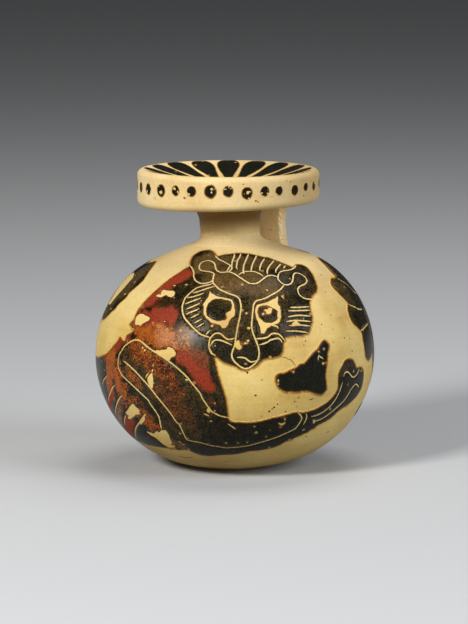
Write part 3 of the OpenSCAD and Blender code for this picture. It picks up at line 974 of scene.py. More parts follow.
# Lines scratched through the slip on the panther's head
faceLines = {
    "leftEar": [(190, 265.5), (191.5, 267.5), (193, 270), (194, 273), (193.5, 275.5), (194.3, 278),
                (195.5, 280.5), (198, 282.3), (201, 283.4), (205, 283.5), (209, 282.5), (211.5, 281.5),
                (213, 279.5), (213.3, 277), (214, 274.5), (212.8, 272.8), (209.5, 271.8), (205, 271.2),
                (201.5, 270.5), (199.5, 269), (199.3, 266.5), (200.2, 264), (202.5, 262), (205.5, 261),
                (209, 260.8), (212, 261.5), (214, 263), (215, 265), (215.5, 268), (217, 270.5),
                (219.5, 272), (222, 272.5), (228, 271.9), (231, 272.3), (234.5, 274), (241.5, 278.5),
                (248.5, 283), (252, 283.6), (256, 283.5), (259, 282), (266, 276.8), (268.5, 275.8),
                (272, 275.3), (275, 276), (278, 277.5)],
    "earTop": [(215.3, 255.5), (217, 257.5), (219.5, 259.7), (223, 261.3), (229.5, 264.8), (231.5, 267),
               (231.8, 268.5), (230.3, 270.5), (228.5, 272)],
    "earCross": [(230, 265.5), (229, 267.5), (226.8, 271.5)],
    "hair1": [(234.6, 253.5), (234, 257), (232.5, 261), (231.7, 265), (231.5, 268)],
    "hair2": [(240.8, 253.5), (239.5, 257.5), (238, 259.5), (237, 263), (236.5, 267), (237.3, 269.5)],
    "hair3": [(248.5, 254), (247, 257.5), (245.5, 261), (244, 265), (243.3, 269), (243.5, 272.5),
              (244, 274)],
    "hair4": [(256.5, 255.5), (255, 259), (253, 263), (251.7, 267), (251, 271)],
    "hair5": [(264.5, 258.5), (262.5, 261.5), (261, 264.5), (259.8, 268), (260, 271)],
    "hair6": [(274, 260.5), (271, 264), (268.5, 267.5), (267.2, 271), (267.6, 274.5)],
    "hair7": [(280.8, 263.8), (278.5, 266.5), (276.5, 269), (275.6, 271), (276, 273)],
    "hair8": [(285.3, 265.5), (283.3, 268.3)],
    "forehead": [(238.3, 275), (240.5, 273.5), (244, 272), (248, 271.4), (252, 271.4), (256, 272.2),
                 (259, 273.5), (263.5, 276.3)],
    "rightEar": [(279, 273), (278, 276), (278, 279), (280, 281.5), (282.5, 283.5), (285, 284.7),
                 (288, 284.7), (290.5, 283.8), (292.3, 281.5), (293, 278.5), (293.3, 275.5), (294.5, 273.5),
                 (296.5, 273), (300, 273.8), (303.5, 275.8), (306, 278.5), (306.8, 280.8), (306, 282.8),
                 (304.5, 284.2), (301.5, 285.5), (299, 287), (297.8, 289), (298, 291.5), (299.3, 294.5),
                 (302, 297), (305, 298.5), (311, 299.3), (313, 298)],
    "rightEarTop": [(279, 273), (280.5, 271.8), (284, 270.7), (288, 270.3), (291.5, 269.3), (294, 268),
                    (296, 265.5)],
    "nose": [(213, 279.5), (213, 282.5), (214.5, 284.5), (219, 289), (222.5, 290.8), (230, 294),
             (234.5, 295.5), (237.5, 297), (239.5, 299.5), (240.5, 303), (241, 307), (240, 316),
             (238.5, 323), (236.3, 334), (235, 344), (232.5, 351), (231.7, 354.5), (232.3, 358), (234, 361),
             (236.5, 363.5), (239.5, 366), (242, 367.5), (245, 368.7), (248.5, 368), (252, 366),
             (255.5, 363), (258, 359), (259, 355), (259, 351), (258, 346), (254, 336), (252.5, 331),
             (251.5, 326), (252.2, 318), (253, 309), (253.5, 305.5), (254.7, 302.5), (257, 300.7),
             (265, 298.3), (270, 295.7), (279, 290.5), (282, 287.5), (284, 285)],
    "rightBrow": [(272, 325.5), (275, 326), (277.5, 326.5), (278.5, 328.3)],
    "cheek": [(213, 283.5), (208, 285), (203, 286), (198, 287.5), (194, 289.8), (187.5, 295.5),
              (185, 298.5), (183.3, 303), (182.3, 307), (182.8, 313), (185, 318.5), (188, 322),
              (194, 328.5), (200, 333.8), (204, 335.6), (207.5, 336.7), (210, 337.5)],
    "leftPad": [(235, 338), (232, 339), (228.5, 339.3), (226, 338.5), (221, 334), (218.5, 333.2),
                (216, 333.3), (213.5, 334.5), (211.3, 336.8), (209.8, 339.5), (208.8, 345), (209.3, 348),
                (210.3, 351), (212, 353.5), (215.5, 355.5)],
    "leftLip": [(232, 345), (226, 342.3), (222.5, 340.8), (219, 340), (215.5, 340), (213.3, 341.3),
                (211.5, 343.5), (210.3, 346.3)],
    "rightPad": [(254.6, 338.8), (260.1, 338.5), (264.2, 338), (267.8, 337), (270.3, 334.7), (272.9, 333.4),
                 (275.4, 333.4), (278, 333.9), (280.5, 335.5), (282.1, 337.2), (284.9, 340.8)],
    "rightLip": [(259.1, 344.9), (264.2, 343.4), (267.8, 341.8), (270.8, 339.8), (274.4, 338.8),
                 (277.5, 338.2), (279.5, 338.8), (281, 340.3), (282.1, 342.9)],
    "mouth": [(236.8, 357.5), (239, 357.3), (243.4, 357.6), (245.7, 358.4), (248.6, 360.7), (251.5, 361.9),
              (256.6, 360.7)],
    "jaw": [(210.5, 330.3), (208, 332), (206, 334.5)],
}
whiskers = [
    [(214.5, 286.3), (208, 288.2), (202, 290.3), (197, 292), (192.5, 293)],
    [(204, 293), (200, 294.5), (195, 296.2), (187.5, 298)], [(201, 298), (192, 301.3), (185, 304)],
    [(200, 303.3), (195, 305.5), (186, 309.3)], [(199.5, 308.5), (195, 310.5), (186, 314)],
    [(199, 313.8), (196, 315.3), (190.5, 318)], [(202, 319), (199, 320.5), (194, 323)],
    [(204, 323), (201.5, 324.5), (196.5, 327.5)],
    [(290, 307.4), (299, 307.3), (309.1, 306.6)], [(288.2, 310.8), (302.5, 310.5), (310.1, 310.2)],
    [(288.2, 316.8), (292.8, 315.9), (299.9, 315.3), (310.6, 316.1)],
    [(286.1, 321.7), (290.7, 320.8), (295.8, 320.4), (302.5, 320.7), (310.9, 321.6)],
    [(288.7, 325.4), (292.3, 325.5), (299.9, 325), (310.4, 326)],
    [(285.6, 331.1), (294.8, 330.9), (299.9, 331.4), (308.1, 332.7)]]

# The eyes are left in the clay's own colour round a painted pupil
eyes = {
    "left": [(210, 290.8), (211.5, 293), (215, 295.3), (219, 296.8), (226, 298.3), (230, 299.2),
             (232.5, 301), (234, 304), (234.5, 308), (235, 312), (234.3, 315.5), (230.5, 319),
             (228.3, 323.5), (227, 326), (225, 328), (222.5, 328), (220.5, 325.5), (217, 324), (212, 322.5),
             (208, 319.8), (205.5, 317), (203.8, 313.5), (203.5, 309), (203.8, 306), (202.7, 304.8),
             (204, 303), (206, 300.5), (208.8, 296)],
    "leftPupil": [(215, 299), (220, 298.8), (229, 300.5), (231.3, 302.5), (232, 306), (231.5, 309.5),
                  (230, 311), (227.5, 312), (226.3, 313.7), (226.2, 316), (227.5, 318), (225, 320),
                  (221, 320.8), (217, 321), (212.5, 319.8), (209, 317.5), (206.8, 314.5), (206.2, 311),
                  (206.6, 307.5), (208, 304), (210.5, 301.3)],
    "right": [(277.5, 296.5), (278, 299), (277.5, 302), (278, 305), (279.7, 306.3), (280.5, 311.5),
              (281, 315), (280.7, 319), (279.5, 321.5), (277.5, 323.2), (272, 325.5), (269, 327),
              (266.5, 329), (264.5, 333), (261, 333), (260.5, 328), (259, 325), (256.3, 317.5),
              (255.2, 313), (255.3, 309.5), (256.3, 306), (258.5, 304.3), (262, 303.7), (268, 302),
              (272.5, 299.3), (275, 298.5)],
    "rightPupil": [(258, 308), (260.5, 306), (264, 305.2), (268, 305.4), (271, 307), (276.5, 310),
                   (277.7, 312.5), (277, 315.5), (278, 318), (276.3, 320.5), (274, 322), (270, 323),
                   (266, 322.5), (262.5, 320.8), (259.5, 318), (257.7, 314.5), (257.3, 311)],
    "rightFlake": [(264, 309.7), (267.5, 309.3), (269, 307.8), (271.8, 308.2), (271.5, 310.5),
                   (270.8, 313.5), (267, 314), (265.8, 311.8)],
}

# Lines on the panther's shoulder, foreleg, paw and flank
bodyLines = {
    "shoulder": [(229.7, 417.8), (223.4, 416.6), (218.9, 415.3), (211.9, 411.5), (209.3, 408.3),
                 (204.2, 401.3), (201.7, 396.8), (199.4, 392.3), (192.1, 383.4), (187, 377), (179.3, 369.7),
                 (171.6, 363.3), (164.6, 358.2), (156.3, 352.8), (151.2, 349.6), (143.6, 343.5),
                 (140.4, 340.9), (137.2, 339.9), (134, 340.2), (130.8, 341.5), (127.6, 343.8),
                 (124.4, 346.3), (121.9, 350.2), (120, 353.4), (118.7, 357.2), (118.1, 361.7),
                 (118.1, 365.5), (119, 368.7), (120.6, 372.5), (123.2, 376.4), (126.4, 379.5),
                 (135.3, 387.8), (144.8, 396.8), (148, 399.9), (150.3, 403.8), (155.7, 411.4),
                 (159.2, 417.8), (160.8, 426.1), (162.1, 429.3)],
    "leg": [(123.2, 361), (127, 363.6), (135.3, 371.3), (143.6, 380.2), (151.2, 389.1), (157.6, 397.4),
            (164, 405.1), (171, 414), (176.7, 422.3), (179.3, 424.2), (183.1, 432.5), (186.4, 438.9),
            (189.5, 440.5), (199.7, 442.4), (209.9, 445.3), (217.6, 446.5), (226.5, 447.8), (239.3, 446.9),
            (250.2, 445.2), (261.4, 442.1), (274.7, 438), (285.9, 433.2), (295.1, 428.6), (299.2, 423.5),
            (301.7, 418.9), (301, 415.8), (297.4, 412)],
    "cuff": [(306.3, 413.3), (306.8, 415.8), (306.1, 419.4), (303.3, 424.7)],
    "pawUpper": [(311.1, 416.5), (315.3, 415.7), (319.9, 413.8), (324.5, 411.1), (329.1, 407.3),
                 (332.9, 403.1), (338.3, 394.3), (341.7, 385.1), (342.8, 382)],
    "pawLower": [(313.4, 421.4), (319.1, 419.9), (324.5, 417.2), (334.4, 409.6), (344.4, 400),
                 (350.5, 390.4), (353.6, 386.2), (355.9, 384.2), (357.4, 385.1), (358.9, 387.4)],
    "wave": [(343.6, 376.7), (344.4, 373.6), (346.3, 371.9), (349, 372.8), (351.3, 375.9), (353.2, 377.2),
             (355.9, 375.5), (359.7, 369.4)],
    "rib1": [(106.9, 375.7), (105, 378.3), (103.1, 381.5), (102.4, 385.3)],
    "rib2": [(114.9, 385.3), (112.3, 387.8), (110.7, 392.3), (109.1, 396.1), (108.5, 401.2)],
    "rib3": [(121.9, 395.5), (119.3, 398.7), (117.4, 402.5), (116.1, 407), (115.5, 415.3)],
    "rib4": [(126, 415.3), (124.8, 417.8), (124.4, 421.6), (124.8, 424.8)],
    "rib5": [(145.8, 413.7), (143.6, 416.5), (139.1, 422.9), (136.9, 426.1), (135.3, 429.9), (135.3, 435),
             (136.2, 438.2)],
    "shoulderNick": [(185.1, 379.6), (189.5, 379.9)],
    "bellyScrape1": [(203.6, 413.4), (209.3, 415.9)], "bellyScrape2": [(227.8, 423.6), (236.1, 429.3)],
    "blotStroke": [(318.9, 354.7), (317.8, 359.9)], "blotScrape": [(318.9, 355.8), (323.2, 358.7)],
    "chip4Stroke": [(145.5, 377.6), (148.7, 372.5)], "chip4Stroke2": [(152.2, 371.9), (152.8, 369)],
    "browTick": [(266, 289), (268, 291)], "eyeTick": [(281, 295.5), (284, 298.5)],
}
hindLines = {
    "rib6": [(-90, 66), (-93, 62), (-94, 56),
             (-93, 51)], "rib7": [(-97, 67), (-100, 62), (-101, 56), (-100, 52)],
    "rib8": [(-104, 67.5), (-107, 62.5), (-108, 57)],
    "haunch": [(-105.5, 49.5), (-110, 55), (-113, 61), (-117, 67), (-124, 71.5), (-133, 73), (-142, 71),
               (-149, 66), (-152, 59), (-151, 51), (-148, 45)],
    "haunch2": [(-127, 50), (-128.5, 56), (-132, 61), (-138, 63.5)],
    "hock1": [(-110.5, 46.5), (-114, 45),
              (-119.5, 46.5)], "hock2": [(-137.5, 45), (-145, 43.5), (-154, 45)],
    "toe1": [(-98.5, 35.3), (-99.5, 33.6),
             (-97.6, 31.6)], "toe2": [(-102.5, 36), (-103.5, 33.8), (-101.8, 31)],
    "toe3": [(-131.8, 35.3), (-132.8, 33.6),
             (-130.9, 31.6)], "toe4": [(-136, 36), (-137, 33.8), (-135.2, 31)],
    "tuft": [(-125.5, 112), (-130.5, 107), (-137, 103.5), (-139.5, 100)],
}

# Places where the slip has flaked off and the clay shows
flaked = [
    [(156, 295.6), (158.6, 296.9), (162.1, 296.9), (166.5, 295), (169.1, 296.9), (172.3, 296.9),
     (174.5, 294.6), (174.8, 292.1), (172.9, 290.8), (166.5, 290.5), (164, 289.9), (162.1, 290.5),
     (160.8, 294.6), (158.6, 294.3)],
    [(135.3, 324.6), (135.6, 320.2), (137.2, 315.7), (139.7, 314.4), (142.9, 314.1), (146.1, 315.7),
     (148.7, 316.6), (149.9, 318.6), (148.7, 320.2), (142.3, 324), (140.7, 325.9), (139.1, 324.6)],
    [(155.7, 351.5), (157.6, 350.2), (165.9, 349.6), (167.2, 347.3), (169.7, 347), (172.9, 348.6),
     (174.8, 350.8), (175.8, 353.4), (174.8, 355.9), (171.6, 357.2), (168.8, 360.4), (165, 358.4)],
    [(149.8, 374.5), (152.3, 372.7), (153, 378), (153.2, 383), (152, 388.5), (149.5, 386), (147.3, 379.5)],
    [(125.7, 413.3), (127, 410.8), (132.4, 403.8), (134.6, 405.7), (139.7, 409.8), (139.1, 412.1),
     (140.4, 414.3), (137.2, 414.3), (134.6, 415.3), (132.7, 417.5), (129.5, 419.1), (127.6, 417.5),
     (128.9, 415.9)],
    [(146.8, 431.8), (150.6, 432.2), (153.1, 433.1), (157, 431.2), (159.5, 432.5), (160.8, 430.6),
     (163.3, 429.9), (165.9, 430.6), (168.8, 435), (172, 443.3), (170.4, 444.9), (174.6, 445.3),
     (174.2, 446.9), (169.1, 447.2), (162.8, 444), (156.4, 438.2), (150.6, 435)],
    [(207.3, 408.3), (210.2, 408.6), (210.4, 411.8), (208.2, 412.7), (206.5, 410.8)],
    [(294.3, 321.6), (297.1, 321.2), (297.9, 322.4), (299.9, 323.5), (300.4, 325), (293.3, 325),
     (291.8, 324.2)],
    [(143.6, 415.9), (145.2, 418.8), (143.9, 421), (141, 424.5), (140.1, 422.3)],
    [(313, 420.2), (315.5, 420.2), (314, 423.5)],
    [(236.5, 341.3), (239.5, 340.3), (240, 344.5), (241.8, 347.3), (239.8, 349.8), (236.5, 348.6),
     (235.2, 345)],
    [(278.3, 422.6), (281.8, 423.6), (285.2, 421.8), (284.9, 423.2), (281.8, 424.9), (278.6, 424)],
    [(134.2, 273), (130.5, 274.3), (124.5, 279.5), (119, 287), (111.5, 298.5), (109, 302.5), (109, 304.5),
     (111, 303.5), (116.5, 296.5), (124, 288), (131, 280), (133.5, 276.5)],
    [(107.4, 305.9), (105.6, 308.9), (105.2, 308.2), (106.8, 305.6)]]
# Small chips, each with its half width and half height in pixels
chips = [(174.5, 285.7, 1.4, 0.7), (186.3, 284.8, 1.6, 0.6), (142.6, 347.7, 1, 1.3),
         (144.8, 350.2, 1.3, 1.1), (179, 441.4, 1.2, .5), (183.2, 444.3, 2, .6), (188.3, 449.1, 1, 1),
         (210.9, 421, 1, .7), (225.9, 443, 1, .8), (238, 443, .9, .7), (247.3, 442.3, .7, .6),
         (284.9, 418.9, .7, .8), (280.3, 427.3, .9, .4), (254.4, 426.4, .8, .6), (266.3, 436.7, .7, .4),
         (245.3, 343.3, 1.3, 1.1), (248, 340.6, 1.4, 1), (248.7, 328, 1.6, 1.2), (246.3, 313.3, 1.1, .9),
         (212, 326, 1.2, 1), (222.5, 287, .9, .7), (245.5, 363.5, .7, .5), (277.5, 327.5, .8, .7),
         (263, 314, 1.2, 1), (318.6, 351.5, .9, .8), (323.1, 363.4, 1.4, 1.2), (293.4, 371.9, 1, .7),
         (278.2, 380.5, .8, 1.2), (277.9, 384.2, .8, .7), (135.3, 275.8, .7, 1.1), (125.1, 294, 1.3, 1.1),
         (111, 309, 1, .8), (361.2, 370.9, 1, .9), (353.6, 371.3, .8, 1.2), (344, 287, 1.3, 1),
         (164.6, 321.5, .8, .6), (104.5, 370, .6, .9)]

# Coats over the dark slip: from, to, radius in millimetres, then how much red, how much orange and how
# worn; in places the worn share is painted sheen
pantherCoats = [
    ((231, 300), (240, 304), 21, 0, 0.05, 0.46), ((150, 372), (208, 422), 17, 0, 0.08, 0.22),
    ((142, 362), (184, 400), 11, 0, 0.12, 0.46), ((172, 430), (192, 432), 5, 0, 0.05, 0.45),
    ((222, 262), (285, 266), 4.5, 0, 0.1, 0.75), ((224, 279), (262, 285), 7, 0, 0.26, 0.78),
    # The second stroke, on the right ear and cheek, is worn partly as painted sheen
    ((202, 268), (208, 258), 4, 0, 0.05, 0.95), ((300, 272), (308, 290), 4.5, 0, 0.08, 0.4),
    ((214, 347), (232, 352), 4, 0, 0, 0.25), ((262, 350), (276, 348), 3.6, 0, 0, 0.2),
    ((242, 352), (248, 362), 3.2, 0, 0, 0.25), ((214, 308), (222, 312), 3.2, 0, 0, 0.3),
    ((268, 314), (270, 315), 2.6, 0, 0, 0.4), ((245, 300), (246, 335), 2.6, 0, 0, 0.45),
    # On the left cheek these two worn patches are painted sheen on the black slip
    ((165, 304), (180, 322), 6, 0.2, 0.05, 0.3), ((192, 318), (200, 340), 4.2, 0, 0, 0.45),
    ((148, 300), (183, 275), 3.6, 1, 0.1, 0.2), ((139, 309), (144, 304), 1.8, 1, 0.1, 0.2),
    ((142, 320), (168, 317), 3.6, 1, 0.1, 0.3), ((134, 322), (131, 330), 1.8, 1, 0.3, 0.2),
    ((140, 333), (158, 336), 3.2, 0.6, 1.3, 0.2), ((162, 335), (174, 345), 4.2, 0.5, 1.15, 1.2),
    ((182, 335), (186, 350), 3.4, 0.3, 0.5, 1.3), ((182, 356), (192, 366), 3, 0.85, 0.3, 0.3),
    ((193, 366), (205, 381), 3.1, 1, 0.12, 0.15), ((207, 384), (210, 387), 2.2, 1, 0.1, 0.2),
    ((210, 400), (214, 404), 1.2, 0.4, 0, 0.4), ((196, 353), (204, 362), 2.4, 0.5, 0.1, 0.7),
    ((214, 350), (218, 376), 1.5, 0, 0, 0.4), ((216, 376), (224, 402), 1.6, 0, 0, 0.4),
    ((106, 356), (126, 338), 2.6, 0.85, 0.1, 0.5), ((136, 348), (158, 368), 4, 0.45, 0.5, 0.6),
    ((160, 366), (176, 392), 4, 0.36, 0.36, 0.45), ((160, 392), (186, 418), 4.5, 0.3, 0.28, 0.5),
    ((124, 350), (130, 362), 2.4, 0.1, 0.3, 0.5), ((128, 372), (138, 384), 2.4, 0.3, 0.55, 0.7),
    ((115, 366), (126, 400), 4.2, 0.2, 0.6, 0.4), ((134, 404), (150, 424), 4.2, 0.2, 0.58, 0.4),
    ((112, 352), (111, 394), 2.8, 0.4, 1.4, 0.2), ((118, 380), (122, 388), 2.6, 0.35, 1, 0.3),
    ((100, 364), (101, 396), 1.6, 0, 0.1, 0.5), ((112, 394), (111, 412), 1.6, 1, 0.15, 0.5),
    ((121, 402), (120, 420), 1.4, 0.2, 0.7, 0.5), ((130, 420), (131, 436), 2.4, 1, 0.1, 0.4),
    ((144, 418), (156, 428), 2.4, 0.45, 0.8, 0.3), ((160, 438), (182, 446), 2.2, 0.1, 0.3, 0.8),
    ((347.8, 383.6), (348.6, 384), 0.7, 0, 1, 0), ((338, 374), (350, 364), 2.4, 0, 0.1, 0.4),
    # The tail's worn share is partly painted sheen, where light grazes the slip
    ((148, 267), (128, 287), 4.5, 0, 0.1, 0.8), ((128, 287), (106, 312), 4, 0, 0.1, 0.7)]
hindCoats = [((-146, 70), (-122, 68), 6.5, 1, 0, 0.3), ((-143, 56), (-139, 50), 4.5, 0.3, 0.6, 0.2),
             ((-98, 60), (-104, 60), 3, 0.9, 0.2, 0.2), ((-112, 52), (-114, 44), 2.6, 0.2, 0.7, 0.2),
             ((-92, 57), (-91, 50), 2, 0.2, 0.6, 0.2)]

# The bird with spread wings: the tips of its left wing show in the photograph, the rest is on the side
bird = {
    "middle": 122,
    "wing": [(77.9, 109.2), (74.2, 106.8), (73.1, 104.6), (72.6, 103.2), (69.5, 103), (66.3, 103.3),
             (63.6, 102.6), (60.8, 101.2), (60.7, 99.2), (61.8, 97), (62.9, 95.2), (64.3, 93.6),
             (64.3, 92.3), (62.5, 91.4), (61.3, 89.9), (60.6, 88), (61.4, 85.6), (63.6, 83.9), (66.4, 82.1),
             (67.2, 80.6), (66.8, 78.8), (67.1, 76.5), (67.2, 74.3), (67.8, 72.3), (71.2, 70.7),
             (74.9, 71.3), (77.2, 72.4), (78.5, 69.6), (81, 65.5), (83.2, 62.2), (86.5, 60.3), (90.3, 61),
             (92.6, 64.4), (94, 61), (96.8, 57.2), (100.4, 56), (103.4, 58.4), (104.6, 63), (107, 66.5),
             (113, 68), (122, 72), (122, 98), (114, 96.5), (110.5, 101), (105.5, 106.5), (99, 111),
             (91, 112.6), (84, 111.8)],
    "body": [(122, 119.4), (119.6, 118.8), (117.4, 116.9), (115.9, 114.8), (112.6, 113.6), (109.6, 111.4),
             (108.7, 109.6), (112.5, 110.3), (116.2, 110.5), (117.9, 108.2), (117.4, 104), (115, 98),
             (112.8, 90), (111.9, 82), (112.7, 72), (115, 63), (117.6, 57), (118.7, 53), (116, 46),
             (112.3, 38.6), (112.8, 36.4), (116.7, 37.6), (119.2, 35.4), (122.2, 37.4), (125.3, 35.4),
             (127.8, 37.6), (131.6, 36.4), (132, 38.6), (128.4, 46), (125.2, 53), (126.3, 57), (129, 63),
             (131.2, 72), (132, 82), (131.1, 90), (129, 98), (127, 104), (126.7, 109), (127.2, 113.4),
             (125.9, 117)],
    "wingLines": [
        [(72.6, 103.2), (75, 101.5), (78.4, 99.7), (80.2, 97.9), (81.6, 96), (83.3, 94.8), (87, 93.9)],
        [(64.4, 92.4), (67.2, 91.3), (70.6, 90.3), (72.5, 89.4), (78.7, 88.4)],
        [(66.4, 82), (69.8, 82.2), (73.9, 82.6), (79.2, 82.9)],
        [(98, 108.6), (94, 101), (91.4, 96), (90.4, 92.4), (87.6, 90.4), (83.9, 87.9), (81.9, 86),
         (81.2, 83.2), (81.6, 79), (80.6, 75.6), (77.2, 72.6)],
        [(104, 104.2), (98.6, 98.4), (95.6, 93), (92.4, 88.8), (88.4, 84.8), (88, 79.4), (89.4, 74),
         (92.4, 70), (98, 67.2), (105.4, 66)],
        [(92.6, 64.6), (91.6, 68), (91.2, 70.8)], [(84.2, 74.6), (86.6, 71), (88.4, 68.6)],
        [(96.6, 92.6), (102, 91.4), (108, 91.6)], [(93, 86.6), (100, 85.2), (107.5, 85.6)],
        [(91.2, 80.6), (99, 79), (107.2, 79.6)], [(93.8, 74.4), (100, 73.2), (108, 73.8)]],
    "bodyLines": [
        [(117.8, 105), (120.4, 106.2), (123.6, 106.2), (126.6, 105)], [(117.2, 102.4), (120.4, 103.6),
                                                                       (123.8, 103.6), (126.9, 102.4)],
        [(115.4, 98.4), (113.2, 90.4), (112.6, 82), (113.4, 73), (115.8, 64.6)],
        [(128.6, 98.4), (130.6, 90.4), (131.4, 82), (130.6, 73), (128.2, 64.6)],
        [(118.4, 56.4), (122, 55), (125.6, 56.4)], [(118.6, 53.6), (122, 52.2), (125.4, 53.6)],
        [(120, 52), (117.6, 44), (116.8, 38.8)], [(122, 51.6), (122.1, 44), (122.2, 38.6)],
        [(124, 52), (126.4, 44), (127.6, 38.8)], [(117.2, 111.4), (114.6, 112.3), (110.8, 111)],
        [(118, 96), (120, 94.4), (122, 96), (124, 94.4), (126, 96)],
        [(117, 90.6), (119.5, 88.8), (122, 90.6), (124.5, 88.8), (127, 90.6)],
        [(117, 85), (119.5, 83.2), (122, 85), (124.5, 83.2), (127, 85)],
        [(117, 79.4), (119.5, 77.6), (122, 79.4), (124.5, 77.6), (127, 79.4)],
        [(118, 73.8), (120, 72.2), (122, 73.8), (124, 72.2), (126, 73.8)]],
    "eye": (120.6, 114.6),
    # The wing tips that show are faded, and partly painted sheen where light grazes them
    "fadedTipsAndSheen": [((324, 264), (332, 272), 1.8, 0.1, 0.45, 1.3),
                  ((331, 279), (336, 287), 2.6, 0.15, 0.5, 1.5), ((347, 300), (352, 322), 2, 0, 0.15, 0.5),
                  ((334, 280), (350, 302), 3.6, 0, 0.05, 0.55)],
}
birdCoats = [((-1, 89), (-1, 77), 5, 1, 0.1, 0.3), ((-28, 96), (-20, 103), 2.4, 1, 0, 0.3),
             ((-31, 82), (-24, 74), 2.4, 0.9, 0.1, 0.3), ((28, 96), (20, 103), 2.4, 1, 0, 0.3),
             ((31, 82), (24, 74), 2.4, 0.9, 0.1, 0.3), ((0, 48), (0, 42), 3, 0.9, 0.2, 0.3),
             ((-12, 76), (-13, 88), 2.2, 0, 0.3, 0.7), ((12, 76), (13, 88), 2.2, 0, 0.3, 0.7),
             ((-55, 101), (-50, 98), 2.5, 0, 0.2, 0.6)]

# Rosettes that fill the gaps between the figures: turn, distance along the section, radius
rosettes = [(-110, 103, 3.4), (-163, 104, 3.8), (-176, 60, 4.2), (97, 43, 4.4), (147, 42, 4.6),
            (-148, 92, 2.6), (-170, 84, 2.6), (-172, 40, 3), (102, 118, 2.8), (140, 119, 2.6), (79, 51, 3)]
# The lines that part their petals: many where the rosette is wide, each a little bent and past its edge
petals = {"few": 3, "many": 4, "wide": 3, "first": 0.3, "past": 0.2, "bend": 0.03, "line": 0.38}


# A band of some width along a line
def seam(line, width):
    line = flowing(line)
    steps = sideSteps(line, False)
    left = [p - width / 2 * s for p, s in zip(line, steps)]
    right = [p + width / 2 * s for p, s in zip(line, steps)]
    return left + right[::-1]


def loopOf(points, rough=1):
    return ragged(flowing(points, closed=True), rough * slip["ragged"])


# A pupil is put back inside the eye's clay ring by cutting the ring only
def ringOf(outer, inner):
    nearest = min(range(len(inner)), key=lambda i: (inner[i] - outer[0]).length)
    turned = inner[nearest:] + inner[:nearest + 1]
    return outer + [outer[0]] + turned[::-1]


# Small flakes at random places of a side, given by its turns and its distances along the section
def strewn(count, turns, alongs, widest, lot, seed):
    flakes = []
    for i in range(count):
        spot = flat(lot.uniform(*turns), lot.uniform(*alongs))
        wide = 0.15 + widest * lot.random() ** 3
        high = 0.15 + 0.4 * lot.random() ** 3
        flakes.append(fleck(spot, wide, high, seed + i, 7))
    return flakes


# Strokes of a coat with their ends put on the sheet
def laidOut(strokes, toSheet):
    return [(*toSheet([start, end]), *rest) for start, end, *rest in strokes]


def paintPanther():
    outline = loopOf(fromPhoto(panther["front"]) + fromSide(panther["hind"]) + fromPhoto(panther["back"]))
    seen = [loopOf(fromPhoto(shape)) for shape in (blot, panther["tail"], panther["tailLoop"])]
    ends = [seam(fromSide(panther[k]), panther["tailWidth"]) for k in ("tailFromRump", "tailTip")]
    outlines = [outline] + seen + [loopOf(fromSide(panther["tailTuft"]))] + ends
    lines = list(faceLines.values()) + whiskers + list(bodyLines.values())
    scratches = [scratch(fromPhoto(line), seed=i) for i, line in enumerate(lines)]
    scratches += [scratch(fromSide(line), seed=50 + i) for i, line in enumerate(hindLines.values())]
    rough = panther["roughFlakes"]
    rings = [ringOf(loopOf(fromPhoto(eyes[side]), rough), loopOf(fromPhoto(eyes[side + "Pupil"]), rough))
             for side in ("left", "right")]
    flakes = [loopOf(fromPhoto(patch), rough) for patch in flaked + [eyes["rightFlake"]]]
    pixel = photo["distance"] / photo["focal"]
    for i, (x, y, wide, high) in enumerate(chips):
        flakes.append(fleck(flat(*fromPixel(x, y)), wide * pixel, high * pixel, seed=i))
    flakes += strewn(60, (-160, -90), (32, 78), 0.5, random.Random(5), 0)
    strokes = laidOut(pantherCoats, fromPhoto) + laidOut(hindCoats, fromSide)
    laySlip("panther_in_slip", outlines, scratches, flakes + rings, strokes, (0, 0, 0.12))


def paintBird():
    def mirrored(points):
        return [(2 * bird["middle"] - turn, along) for turn, along in points]

    def fromMiddle(points):
        return fromSide([(bird["middle"] + turn, along) for turn, along in points])

    wings = [bird["wing"], mirrored(bird["wing"])[::-1]]
    outlines = [loopOf(fromSide(points)) for points in wings + [bird["body"]]]
    lines = bird["wingLines"] + [mirrored(line) for line in bird["wingLines"]] + bird["bodyLines"]
    scratches = [scratch(fromSide(line), seed=200 + i) for i, line in enumerate(lines)]
    look = flat(*bird["eye"])
    flakes = [ringOf(fleck(look, 1.5, 1.3, 1, 20), fleck(look, 0.75, 0.7, 2, 14)),
              fleck(flat(*fromPixel(344, 287)), 0.36, 0.3, 3)]
    for i, (turn, along, radius) in enumerate(rosettes):
        centre = flat(turn, along)
        outlines.append(loopOf(fleck(centre, radius, radius, 30 + i, 12)))
        spokes = petals["many"] if radius > petals["wide"] else petals["few"]
        for spoke in range(spokes):
            angle = math.pi * spoke / spokes + petals["first"]
            arm = Vector((math.cos(angle) / sheetScale(along), math.sin(angle))) * (radius + petals["past"])
            line = [centre - arm, centre + petals["bend"] * arm, centre + arm]
            scratches.append(scratch(line, petals["line"], 300 + 9 * i + spoke))
    flakes += strewn(70, (78, 180), (40, 112), 0.55, random.Random(11), 70)
    strokes = laidOut(birdCoats, fromMiddle) + laidOut(bird["fadedTipsAndSheen"], fromPhoto)
    # The bird's ground worn share is partly painted sheen where light grazes its wings
    laySlip("bird_in_slip", outlines, scratches, flakes, strokes, (0, 0, 0.25))
